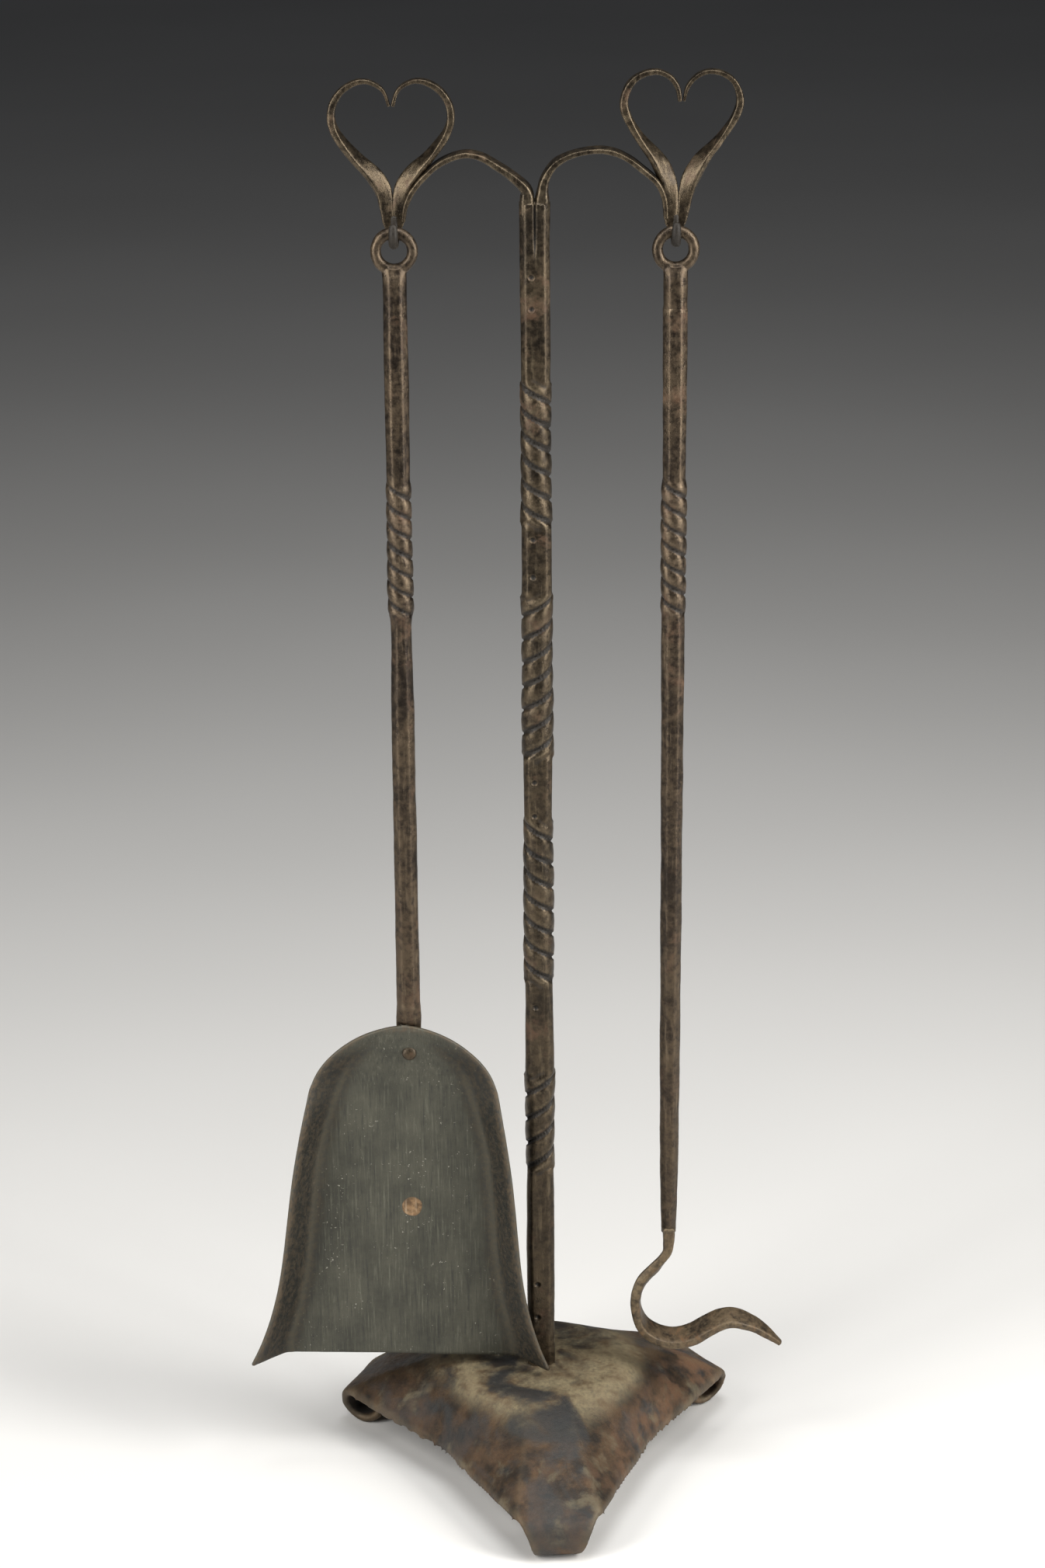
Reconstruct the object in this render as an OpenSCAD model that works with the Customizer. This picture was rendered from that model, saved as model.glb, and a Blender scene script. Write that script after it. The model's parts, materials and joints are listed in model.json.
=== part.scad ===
// Hand-forged fireplace tool set: a three-footed stand with a twisted post, two hearts and two
// hooks, and a shovel and a poker that hang from the hooks by the eyes of their shafts.
// Millimetres, +Z up, +X to the right and +Y to the back. The origin is on the floor, under the post.

/* [Base plate] */
// Height of the plate's flat top above the floor
plate_top = 62; // [54:1:78]
// Thickness of the plate, measured straight down
plate_t = 6; // [4:0.5:8]
// Distance from the post's axis to the centre of each foot roll
foot_reach = 113; // [96:1:140]
// Outer radius of each foot roll
foot_roll_r = 14; // [11:0.5:17]
// Thickness of the rolled strip in a foot
foot_strip_t = 5.5; // [4:0.5:7]
// Half width of a foot where its roll starts
foot_half_w = 29.5; // [24:0.5:35]
// Half width that a foot gains for each millimetre toward the post
foot_flare = 0.446; // [0.35:0.01:0.55]
// Half width of a foot at the front of its roll
foot_roll_half_w = 20; // [15:0.5:24]
// Half width of a foot where it stands on the floor
foot_sole_half_w = 12.5; // [9:0.5:16]
// Distance from the post's axis to the middle of each plate side
side_reach = 71; // [60:1:86]
// Turn of the three feet about the post
base_turn = 5; // [0:1:30]

/* [Post] */
// Height of the floor-to-arm part of the post
arm_root_z = 712; // [590:1:860]
// Width of the square bar across its flats
post_w = 15.9; // [13:0.1:20]
// Width of the chamfer on each corner of the bars
bar_chamfer = 2.6; // [1.5:0.1:3.5]
// Rise of the screw in one turn of a post twist
post_pitch = 27.5; // [20:0.5:40]
// Depth of the twist grooves
groove_d = 1.7; // [0.6:0.1:2.5]
// Radius of the tenon through the plate
tenon_r = 5.5; // [4:0.5:7]
// Radius of the washer under the plate
washer_r = 14; // [10:0.5:18]
// Thickness of that washer
washer_t = 2.5; // [1.5:0.5:4]

/* [Arms and hearts] */
// Sideways space between the post and the floor of a pan that hangs straight
pan_side = 0.65; // [0.4:0.05:12]
// Height of the split where the two arms part, above the arm roots
split_h = 39; // [25:1:50]
// Thickness of an arm strip
arm_t = 3.4; // [2.5:0.1:5]
// Depth of an arm at its highest point
arm_depth = 13; // [8:0.5:16]
// Width of a heart across the middle of its strips
heart_w = 62.5; // [50:0.5:78]
// Height of a heart from the stem's foot to the lobes
heart_h = 76; // [62:1:92]
// Thickness of a heart strip at its widest point
heart_t = 4; // [3:0.1:5.5]
// Depth of a heart strip at its widest point
heart_depth = 8.5; // [6:0.5:12]
// Depth of the stem foot below the split
stem_drop = 18; // [12:1:24]

/* [Hooks and eyes] */
// Diameter of the hook wire
hook_wire = 5.2; // [4:0.1:6]
// Distance from the stem's centre forward to the eye's plane
hook_forward = 6.9; // [6.5:0.1:9]
// Inner radius of a tool's eye
eye_hole_r = 6.7; // [6:0.1:9]
// Diameter of the bar in a tool's eye
eye_wire = 6; // [5:0.1:6.5]
// Free space between a hook's saddle and the eye that hangs on it
hang_gap = 0.3; // [0.3:0.1:1]

/* [Tool shafts] */
// Diameter of the tool shafts
shaft_d = 12.7; // [10:0.1:15]
// Distance from an eye's centre down to the start of the twist
twist_drop = 124; // [80:1:160]
// Length of the twisted part
shaft_twist_l = 76; // [40:1:110]
// Rise of the screw in one turn of a shaft twist
shaft_pitch = 21.5; // [16:0.5:30]

/* [Shovel] */
// Length of the pan from its heel to its front edge
pan_l = 211; // [175:1:255]
// Width of the pan across its flared tips
pan_w = 171; // [150:1:200]
// Thickness of the pan's sheet, measured straight back
pan_t = 2.2; // [1.5:0.1:3]
// Height of the pan's side walls
wall_h = 18; // [12:0.5:24]
// Distance that the heel's rim stands in front of the floor
heel_h = 8.5; // [7:0.5:10]
// Length of the sloping heel
heel_l = 37; // [30:1:44]
// Height of the lip that turns up along the heel's rim
heel_lip = 1.5; // [1:0.1:3]
// Space between the pan's front edge and the plate's flat top
pan_clear = 7; // [5:0.5:20]
// Sideways tilt of the pan on its shaft, in degrees
pan_tilt = 1.5; // [0:0.1:3]
// Sideways offset of the heel from the shaft
pan_shift = 2.5; // [0:0.1:4]
// Width of the flattened tang behind the pan
tang_w = 14; // [12:0.5:20]
// Thickness of that tang
tang_t = 4; // [3:0.1:5]
// Length of the tang below the heel
tang_l = 92; // [80:1:120]
// Distance from the heel's rim to the upper rivet
rivet_drop = 17; // [12:0.5:20]
// Distance from the upper rivet to the lower one
rivet_gap = 99; // [80:1:105]
// Radius of the rivet shanks
rivet_r = 3; // [2:0.1:4]
// Clearance round the rivet shanks
rivet_fit = 0.05; // [0.05:0.05:0.2]

/* [Poker] */
// Height of the weld between the poker's shaft and its claw
claw_top_z = 149; // [130:1:190]
// Reach of the claw's point from the shaft's axis
claw_reach = 66.5; // [54:0.5:80]
// Depth of the claw from the weld to its lowest bend
claw_drop = 71.5; // [60:0.5:72]
// Width of the claw's flat bar
claw_w = 15; // [10:0.5:17]
// Thickness of that bar
claw_t = 5.7; // [4:0.1:7]
// Width of the poker's shaft at the weld
claw_neck = 8.4; // [7:0.1:12]

/* [Hidden] */
iron = [0.20, 0.17, 0.14];
worn_iron = [0.36, 0.31, 0.25];
dusty_iron = [0.42, 0.36, 0.27];
pan_iron = [0.27, 0.28, 0.26];
$fn = 48;

rim_z = 2 * foot_roll_r;
// Width of the pan's floor at its front edge, as a share of the pan's whole width.
floor_share = 0.765;
// Distance from the post's axis to each hook, so that the pan hangs beside the post.
arm_reach = post_w / 2 + pan_side + floor_share * pan_w / 2;
foot_start = foot_reach - 7;
split_z = arm_root_z + split_h;
stem_z = split_z - stem_drop;
hook_z = stem_z - 2;
wire_r = hook_wire / 2;
saddle_z = hook_z - hook_forward + wire_r;
eye_r = eye_hole_r + eye_wire / 2;
eye_z = saddle_z + hang_gap - eye_hole_r;
eye_y = -hook_forward;
shaft_top_z = eye_z - eye_r + 0.6;
pan_top_z = plate_top + pan_clear + pan_l;
floor_y = 2;
floor_back_y = eye_y + floor_y + pan_t;

// ---- helpers ----

// Skin over a stack of closed rings of points, each ring turning the same way round the path. The
// ends of a sheet are closed by strips from its front to its back, and those of a bar by one face.
module loft(rings, sheet = false) {
    n = len(rings[0]);
    m = len(rings);
    points = [for (r = rings) each r];
    // Each four-sided field is cut along its shorter diagonal, so that a screw's grooves stay clean.
    sides = [for (i = [0:m - 2]) for (j = [0:n - 1]) let (
        a = i * n + j,
        b = a + n,
        d = i * n + (j + 1) % n,
        c = d + n)
        each norm(points[a] - points[c]) < norm(points[b] - points[d])
            ? [[a, b, c], [a, c, d]]
            : [[a, b, d], [b, c, d]]];
    first = sheet
        ? [for (j = [0:n / 2 - 2]) each [[j, j + 1, n - 2 - j], [j, n - 2 - j, n - 1 - j]]]
        : [[for (j = [0:n - 1]) j]];
    last = [for (face = first) [for (k = [len(face) - 1:-1:0]) (m - 1) * n + face[k]]];
    polyhedron(points, concat(first, sides, last));
}

function spline(a, b, c, d, t) =
    0.5 * (2 * b + (c - a) * t + (2 * a - 5 * b + 4 * c - d) * t * t + (3 * b - a - 3 * c + d) * t * t * t);

// Smooth curve through the points; each point may carry sizes after its coordinates.
function smooth(p, steps) = let (n = len(p) - 1) concat(
    [for (i = [0:n - 1]) for (k = [0:steps - 1])
        spline(p[max(i - 1, 0)], p[i], p[i + 1], p[min(i + 2, n)], k / steps)],
    [p[n]]);

function chamfered(w, h, c) = let (a = w / 2, b = h / 2)
    [[a, -b + c], [a, b - c], [a - c, b], [-a + c, b],
     [-a, b - c], [-a, -b + c], [-a + c, -b], [a - c, -b]];

// Flat bar that bends in the XZ plane; each path point is [x, z, thickness, depth along Y].
function bar_rings(path) = let (n = len(path) - 1)
    [for (i = [0:n]) let (
        q = path[min(i + 1, n)] - path[max(i - 1, 0)],
        len_q = norm([q[0], q[1]]),
        nx = q[1] / len_q,
        nz = -q[0] / len_q,
        sec = chamfered(path[i][2], path[i][3], path[i][2] * 0.22))
        [for (s = sec) [path[i][0] + nx * s[0], s[1], path[i][1] + nz * s[0]]]];

// Sixteen points of a square bar with chamfered, hammer-rounded corners, or of the same bar cut by
// two screw grooves.
bar_crown = 0.1;
function flat_point(j, w) = let (
    q = floor(j / 4),
    k = j % 4,
    a = w / 2,
    c = bar_chamfer,
    b = a - c / 2 + 2 * bar_crown,
    p = k == 0 ? [a + bar_crown, 0] : k == 1 ? [a, a - c] : k == 2 ? [b, b] : [a - c, a],
    s = sin(90 * q),
    t = cos(90 * q)) [p[0] * t - p[1] * s, p[0] * s + p[1] * t];
twist_angles = [0, 15, 42, 66, 90, 114, 138, 165];
function twist_point(j, w) = let (
    a = twist_angles[j % 8] + (j < 8 ? 0 : 180),
    r = j % 8 == 0 ? w / 2 - groove_d : w / 2 + 0.35) [r * cos(a), r * sin(a)];
function bar_ring(z, w, blend, turn, wy = 0, y = 0) =
    [for (j = [0:15]) let (
        p = (1 - blend) * flat_point(j, w) + blend * twist_point(j, w),
        x = p[0] * cos(turn) - p[1] * sin(turn),
        v = p[0] * sin(turn) + p[1] * cos(turn))
        [x, y + v * (wy == 0 ? 1 : wy / w), z]];

// Rings of one twist that starts at height z0: whole half turns, so the flats meet again above it.
function half_turns(l, pitch) = round(2 * l / pitch);
function twist_rings(z0, l, pitch, w, hand, turn0 = 0, y = 0) = let (
    halves = half_turns(l, pitch),
    steps = halves * 5)
    [for (i = [0:steps]) bar_ring(z0 + l * i / steps, w,
        min(1, min(i, steps - i) / 2), turn0 + hand * 180 * halves * i / steps, 0, y)];

// ---- base ----

function side_limit(off) = side_reach / cos(60 - off);
function foot_limit(off) = (foot_half_w + foot_flare * foot_start) / (sin(off) + foot_flare * cos(off));
// The sides between the feet are a little hollow, and the ends of the legs a little full.
edge_wave = 0.004;
function plate_edge(off) = (1 + edge_wave * cos(6 * off))
    * min(foot_start / cos(off), max(side_limit(off), foot_limit(off)));
corner_off = atan(foot_half_w / foot_start);
plate_offs = [0, corner_off / 2, corner_off, 21, 27, 34, 42, 51];
plate_angles = [for (leg = [0:2]) for (i = [0:14])
    120 * leg + (i < 8 ? plate_offs[i] : 120 - (i == 8 ? 60 : plate_offs[16 - i]))];
function plate_off(a) = let (b = (a + 60) % 120 - 60) abs(b);
// Share of the dome's rise that is left at part s of the way out, near a leg and near a side.
function dome(s, off) = let (
    leg = (1 + cos(3 * off)) / 2,
    on_leg = s < 0.4 ? 1 : (1 + cos(180 * (s - 0.4) / 0.6)) / 2,
    on_side = s < 0.55 ? 1 : 1 - pow((s - 0.55) / 0.45, 1.8)) leg * on_leg + (1 - leg) * on_side;
function plate_ring(s, drop) = [for (a = plate_angles) let (
    off = plate_off(a),
    r = s * plate_edge(off))
    [r * cos(a), r * sin(a), rim_z + (plate_top - rim_z) * dome(s, off) - drop]];
plate_steps = [0.17, 0.4, 0.52, 0.62, 0.72, 0.82, 0.91, 1];

// One rolled foot on the +X side: the strip leaves the plate, rolls under and nearly closes.
module foot_roll() {
    centre_z = foot_roll_r - 0.35;
    root = foot_half_w - edge_wave * foot_start;
    wide = foot_half_w + 12 * foot_flare;
    intersection() {
        rotate([90, 0, 0]) linear_extrude(3 * foot_half_w, center = true) union() {
            translate([foot_start - 3, rim_z - foot_strip_t - 0.35])
                square([foot_reach - foot_start + 3, foot_strip_t]);
            translate([foot_reach, centre_z]) difference() {
                circle(foot_roll_r);
                circle(foot_roll_r - foot_strip_t);
                polygon([[0, 0], [0, 2 * foot_roll_r], [-2 * foot_roll_r, 2 * foot_roll_r],
                         [-2 * foot_roll_r, -0.2 * foot_roll_r]]);
            }
        }
        linear_extrude(rim_z) polygon([
            [foot_start - 12, -root], [foot_start, -root],
            [foot_reach + foot_roll_r + 1, -foot_roll_half_w],
            [foot_reach + foot_roll_r + 1, foot_roll_half_w],
            [foot_start, root], [foot_start - 12, root]]);
        rotate([90, 0, 90]) linear_extrude(2 * foot_reach) polygon([
            [-foot_sole_half_w, -1], [foot_sole_half_w, -1],
            [foot_roll_half_w, 0.7 * rim_z], [wide, rim_z + 1],
            [-wide, rim_z + 1], [-foot_roll_half_w, 0.7 * rim_z]]);
    }
}

module base_plate() {
    color(dusty_iron) rotate([0, 0, base_turn + 30]) difference() {
        union() {
            loft(concat([for (s = plate_steps) plate_ring(s, plate_t)],
                        [for (i = [0:7]) plate_ring(plate_steps[7 - i], 0)]));
            for (leg = [0:2]) rotate([0, 0, 120 * leg]) foot_roll();
        }
        translate([0, 0, plate_top - plate_t - 5]) cylinder(r = tenon_r + 0.05, h = plate_t + 10);
    }
}

module tenon_washer() {
    color(iron) translate([0, 0, plate_top - plate_t - washer_t]) difference() {
        cylinder(r = washer_r, h = washer_t);
        translate([0, 0, -1]) cylinder(r = tenon_r + 0.05, h = washer_t + 2);
    }
}

// ---- post ----

// Each twist: share of the free post below it, its length and its hand.
post_twists = [[0.192, 61, 1], [0.371, 98, -1], [0.577, 94, 1], [0.782, 79, -1]];
// Turn that the post has gathered below twist i.
function turn_below(i) = i == 0 ? 0
    : turn_below(i - 1) + post_twists[i - 1][2] * 180 * half_turns(post_twists[i - 1][1], post_pitch);
module post() {
    free_h = arm_root_z - plate_top;
    head_z = plate_top - plate_t - washer_t;
    color(iron) union() {
        loft(concat(
            [bar_ring(plate_top, post_w, 0, 0)],
            [for (i = [0:3]) each twist_rings(plate_top + post_twists[i][0] * free_h,
                post_twists[i][1], post_pitch, post_w, post_twists[i][2], turn_below(i))],
            [bar_ring(arm_root_z, post_w, 0, turn_below(4))]));
        translate([0, 0, head_z - 1]) cylinder(r = tenon_r, h = plate_t + washer_t + 2);
        translate([0, 0, head_z - 3]) cylinder(r = tenon_r + 2.5, h = 3);
    }
}

// ---- arms and hearts, for the right-hand side ----

root_x = post_w / 4;
stem_gap = heart_t / 2 + 0.1;
arm_end_x = arm_reach - heart_t - arm_t / 2 - 0.3;
module arm(side) {
    half = post_w / 2;
    // The left arm leaves the post on a slant, and the right one rises before it bends.
    shoulder = side < 0
        ? [[root_x + 0.6, split_z, half - 1.8, post_w], [root_x + 6.5, split_z + 6.3, arm_t + 1.8, post_w - 1],
           [root_x + 15, split_z + 12.4, arm_t + 0.8, arm_depth + 1],
           [root_x + 23.6, split_z + 17.6, arm_t + 0.2, arm_depth]]
        : [[root_x + 0.3, split_z, half - 1.5, post_w], [root_x + 2, split_z + 7, arm_t + 2, post_w - 1],
           [root_x + 6.6, split_z + 13.6, arm_t + 1, arm_depth + 1],
           [root_x + 16, split_z + 18.6, arm_t + 0.4, arm_depth]];
    color(iron) mirror([side < 0 ? 1 : 0, 0, 0]) loft(bar_rings(smooth(concat(
        [[root_x, arm_root_z, half - 0.05, post_w], [root_x, split_z - 12, half - 0.1, post_w]],
        shoulder,
        [[arm_end_x - 32, split_z + 20, arm_t, arm_depth],
         [arm_end_x - 20, split_z + 16.6, arm_t, arm_depth - 1],
         [arm_end_x - 10, split_z + 9, arm_t, arm_depth - 2],
         [arm_end_x - 3, split_z, arm_t, arm_depth - 2.5],
         [arm_end_x, split_z - 9, arm_t, arm_depth - 3],
         [arm_end_x, stem_z, arm_t - 0.6, arm_depth - 4]]), 3)));
}

// One half of each heart, from the stem's foot up to its tip in the cleft, left heart first.
// Each point: share of the half width, share of the height, share of thickness and of depth.
half_hearts = [
    [[0, 0, 1, 1.1], [0.05, 0.19, 1, 1.1], [0.15, 0.276, 1.05, 1.1], [0.33, 0.37, 1.05, 1],
     [0.58, 0.467, 1, 1], [0.82, 0.575, 1, 1], [1, 0.74, 1, 1],
     [0.95, 0.84, 0.95, 0.95], [0.8, 0.925, 0.9, 0.95],
     [0.6, 0.974, 0.8, 0.9], [0.38, 0.985, 0.7, 0.85],
     [0.17, 0.955, 0.6, 0.75], [0.04, 0.905, 0.5, 0.7],
     [-0.035, 0.822, 0.45, 0.65]],
    [[0, 0, 1, 1.1], [0.04, 0.15, 1, 1.1], [0.11, 0.283, 1.05, 1.1], [0.23, 0.38, 1.05, 1],
     [0.39, 0.476, 1, 1], [0.77, 0.655, 1, 1], [0.91, 0.747, 1, 1],
     [0.965, 0.833, 0.95, 0.95], [0.91, 0.921, 0.9, 0.95],
     [0.61, 1.02, 0.8, 0.9], [0.4, 1.035, 0.7, 0.85], [0.12, 0.987, 0.6, 0.75], [0.02, 0.925, 0.5, 0.7],
     [-0.035, 0.843, 0.45, 0.65]]];
// Sideways lean of each heart at its lobes.
heart_leans = [-0.4, 2.7];
module heart_half(side, half) {
    which = side < 0 ? 0 : 1;
    span = heart_w / 2 - stem_gap;
    lean = heart_leans[which] / heart_h;
    color(iron) multmatrix([[1, 0, lean, side * arm_reach], [0, 1, 0, 0], [0, 0, 1, stem_z]])
        mirror([half < 0 ? 1 : 0, 0, 0]) loft(bar_rings(smooth([for (p = half_hearts[which])
            [stem_gap + p[0] * span, p[1] * heart_h, p[2] * heart_t, p[3] * heart_depth]], 2)));
}

// ---- hooks ----

module hook(side) {
    tip_l = 2.4;
    color(iron) translate([side * arm_reach, 0, hook_z]) union() {
        cylinder(r = wire_r, h = stem_z - hook_z + 1);
        translate([0, -hook_forward, 0]) rotate([0, 90, 0]) rotate([0, 0, -90])
            rotate_extrude(angle = 180) translate([hook_forward, 0]) circle(wire_r);
        translate([0, -2 * hook_forward, 0]) cylinder(r = wire_r, h = tip_l);
        translate([0, -2 * hook_forward, tip_l]) sphere(wire_r);
    }
}

// ---- tool shafts ----

module eye() {
    translate([0, eye_y, eye_z]) rotate([90, 0, 0])
        rotate_extrude() translate([eye_r, 0]) circle(eye_wire / 2);
}

// Rings of a shaft's twist and of its neck, which ends inside the eye's bar.
shaft_turn = -180 * half_turns(shaft_twist_l, shaft_pitch);
function shaft_head(twist_z) = concat(
    twist_rings(twist_z, shaft_twist_l, shaft_pitch, shaft_d, -1, 0, eye_y),
    [bar_ring(shaft_top_z - 9, shaft_d, 0, shaft_turn, shaft_d, eye_y),
     bar_ring(shaft_top_z - 4.5, shaft_d - 0.7, 0, shaft_turn, shaft_d - 2, eye_y),
     bar_ring(shaft_top_z - 0.9, 1.6 * eye_wire, 0, shaft_turn, 0.7 * eye_wire, eye_y)]);
module shovel_shaft() {
    twist_z = eye_z - twist_drop - shaft_twist_l;
    heel_z = pan_top_z - heel_l;
    rise = heel_h / heel_l;
    back_y = floor_back_y + tang_t / 2 + 0.05;
    color(worn_iron) difference() {
        union() {
            translate([-arm_reach, 0, 0]) eye();
            translate([-arm_reach, 0, 0]) loft(concat(
                [bar_ring(pan_top_z - heel_l - tang_l - 3, tang_w * 0.6, 0, 0, tang_t, back_y),
                 bar_ring(pan_top_z - heel_l - tang_l, tang_w, 0, 0, tang_t, back_y),
                 bar_ring(heel_z - 1, tang_w, 0, 0, tang_t, back_y),
                 bar_ring(heel_z + 0.7 * heel_l, tang_w, 0, 0, tang_t, back_y - 0.7 * heel_h),
                 bar_ring(pan_top_z - 1, tang_w, 0, 0, tang_t + 1.4, back_y - heel_h + 0.95),
                 bar_ring(pan_top_z + 3, tang_w + 0.6, 0, 0, tang_t + 4, eye_y + 0.6),
                 bar_ring(pan_top_z + 10, shaft_d + 0.2, 0, 0, shaft_d, eye_y),
                 bar_ring(twist_z - 60, shaft_d, 0, 0, shaft_d, eye_y),
                 bar_ring(twist_z - 6, shaft_d - 1.2, 0, 0, shaft_d - 1, eye_y)],
                shaft_head(twist_z)));
        }
        rivet_holes();
    }
}

module poker_shaft() {
    twist_z = eye_z - twist_drop - shaft_twist_l;
    color(worn_iron) translate([arm_reach, 0, 0]) union() {
        eye();
        loft(concat(
            [bar_ring(claw_top_z, claw_neck, 0, 0, claw_neck, eye_y),
             bar_ring(claw_top_z + 60, claw_neck + 1.6, 0, 0, claw_neck + 1.6, eye_y),
             bar_ring(twist_z - 40, shaft_d, 0, 0, shaft_d, eye_y)],
            shaft_head(twist_z)));
    }
}

// ---- shovel pan, drawn with its heel's rim at the origin ----

// Depth of the floor's hollow, and drop of the sheet's middle line below its rims.
floor_dish = 0.5;
edge_bow = 0.6;
// Half width of the rim and of the floor at a distance down from the heel, for a pan of the size given.
rim_table = [[0, 0.11], [0.02, 0.2], [0.052, 0.36], [0.085, 0.46], [0.125, 0.545], [0.17, 0.6], [0.22, 0.63],
             [0.43, 0.715], [0.7, 0.79], [0.83, 0.85], [0.93, 0.925], [1, 1]];
floor_table = [[0, 0.06], [0.06, 0.22], [0.125, 0.36], [0.19, 0.43], [0.38, 0.555], [0.67, 0.66],
               [1, floor_share]];
pan_rows = [0, 0.02, 0.052, 0.085, 0.125, 0.175, 0.22, 0.3, 0.43, 0.57, 0.7, 0.8, 0.88, 0.95, 1];
function pan_point(v, k, back) = let (
    side = k < 5 ? -1 : 1,
    i = abs(k - 5),
    rim = lookup(v, rim_table) * pan_w / 2,
    flat = min(lookup(v, floor_table) * pan_w / 2, rim - 1),
    lift = max(0, 1 - v * pan_l / heel_l) * heel_h,
    wall = lift + heel_lip + (wall_h - lift - heel_lip) * min(1, v * pan_l / heel_l / 1.6),
    u = i == 5 ? rim
        : i == 4 ? (rim + flat) / 2 + min(1.2, (rim - flat) / 4)
        : i == 3 ? flat
        : i == 2 ? flat - min(6, flat / 3)
        : i == 1 ? flat / 2
        : 0,
    w = i == 5 ? wall
        : i == 4 ? lift + 0.5 * (wall - lift)
        : i == 3 ? lift + floor_dish + 0.1 * (wall - lift)
        : lift + floor_dish * i * i / 9)
    [side * u, -w + back, -v * pan_l - edge_bow * (1 - u * u / rim / rim)];
module pan_sheet() {
    loft([for (v = pan_rows) [for (k = [0:21])
        k < 11 ? pan_point(v, 10 - k, 0) : pan_point(v, k - 11, pan_t)]], true);
}
module on_pan() {
    translate([-arm_reach - pan_shift, eye_y + floor_y, pan_top_z]) rotate([0, pan_tilt, 0]) children();
}
module at_heel_rivet() {
    translate([-arm_reach, eye_y + floor_y - heel_h * (1 - rivet_drop / heel_l), pan_top_z - rivet_drop])
        rotate([90 - atan(heel_h / heel_l), 0, 0]) children();
}
module at_floor_rivet() {
    translate([-arm_reach, eye_y + floor_y, pan_top_z - rivet_drop - rivet_gap]) rotate([90, 0, 0]) children();
}
module rivet_holes() {
    at_heel_rivet() translate([0, 0, -15]) cylinder(r = rivet_r + rivet_fit, h = 30);
    at_floor_rivet() translate([0, 0, -15]) cylinder(r = rivet_r + rivet_fit, h = 30);
}

module shovel_pan() {
    color(pan_iron) difference() {
        on_pan() pan_sheet();
        rivet_holes();
    }
}

// A rivet whose shank goes through the sheet and the tang; the head faces the front.
module rivet(head_r, head_h) {
    grip = pan_t + tang_t + 0.1;
    color(worn_iron) rotate_extrude() polygon([
        [0, -grip - 1.6], [rivet_r + 1.4, -grip - 1.6], [rivet_r + 1.8, -grip - 0.1], [rivet_r, -grip - 0.1],
        [rivet_r, 0.02], [head_r, 0.02], [head_r * 0.86, head_h * 0.6], [head_r * 0.5, head_h], [0, head_h]]);
}
module shovel_heel_rivet() { at_heel_rivet() rivet(4.2, 2.4); }
module shovel_floor_rivet() { at_floor_rivet() rivet(6.2, 0.8); }

// ---- poker claw ----

// Centre line of the claw: share of the reach, share of the drop and share of the thickness and width.
claw_line = [[0, 0, 1.3, 0.75], [0, -0.15, 1.15, 0.85], [-0.03, -0.22, 1, 1], [-0.12, -0.335, 1, 1],
             [-0.22, -0.445, 1, 1], [-0.28, -0.575, 1, 1], [-0.285, -0.71, 1, 1], [-0.23, -0.85, 1, 1],
             [-0.11, -0.945, 1, 1], [0.06, -0.99, 1, 1], [0.21, -0.965, 1, 1], [0.35, -0.885, 1, 1],
             [0.465, -0.82, 1, 0.95], [0.59, -0.81, 0.95, 0.85], [0.75, -0.86, 0.8, 0.65],
             [0.885, -0.95, 0.6, 0.45], [1, -1.05, 0.35, 0.2]];
module poker_claw() {
    color(worn_iron) translate([arm_reach, eye_y, claw_top_z]) loft(bar_rings(smooth([for (p = claw_line)
        [p[0] * claw_reach, p[1] * claw_drop, p[2] * claw_t, p[3] * claw_w]], 2)));
}

base_plate();
tenon_washer();
post();
arm(-1);  // arm_left
arm(1);  // arm_right
heart_half(-1, -1);  // heart_left_outer
heart_half(-1, 1);  // heart_left_inner
heart_half(1, -1);  // heart_right_inner
heart_half(1, 1);  // heart_right_outer
hook(-1);  // hook_left
hook(1);  // hook_right
shovel_shaft();
shovel_pan();
shovel_heel_rivet();
shovel_floor_rivet();
poker_shaft();
poker_claw();
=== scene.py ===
import json
import math

import bpy
import numpy as np
from mathutils import Matrix, Vector

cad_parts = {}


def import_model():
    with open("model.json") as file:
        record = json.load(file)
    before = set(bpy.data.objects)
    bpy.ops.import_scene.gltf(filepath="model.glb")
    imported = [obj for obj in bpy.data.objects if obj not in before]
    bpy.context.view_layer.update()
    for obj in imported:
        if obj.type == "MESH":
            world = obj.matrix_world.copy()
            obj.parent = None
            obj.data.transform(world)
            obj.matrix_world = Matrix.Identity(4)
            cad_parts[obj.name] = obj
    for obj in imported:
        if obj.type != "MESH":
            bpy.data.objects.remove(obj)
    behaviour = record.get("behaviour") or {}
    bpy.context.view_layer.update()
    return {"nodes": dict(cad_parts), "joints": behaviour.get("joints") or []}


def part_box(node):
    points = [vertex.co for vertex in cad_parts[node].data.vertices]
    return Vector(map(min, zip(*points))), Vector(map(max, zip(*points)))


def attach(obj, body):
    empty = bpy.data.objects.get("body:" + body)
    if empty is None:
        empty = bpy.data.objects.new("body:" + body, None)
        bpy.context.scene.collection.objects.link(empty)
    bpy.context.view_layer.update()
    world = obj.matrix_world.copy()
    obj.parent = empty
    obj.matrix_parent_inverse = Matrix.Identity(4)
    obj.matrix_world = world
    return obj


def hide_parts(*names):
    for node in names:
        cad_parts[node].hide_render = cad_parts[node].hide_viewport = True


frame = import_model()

# Hand-forged fireplace tool set. Lengths are millimetres until a mesh is made, which is in metres.
MM = 0.001


# ---- sizes that come from the frame, and given bar and wire sizes ----

def box_mm(node):
    low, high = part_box(node)
    return np.array(low) / MM, np.array(high) / MM


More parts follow.
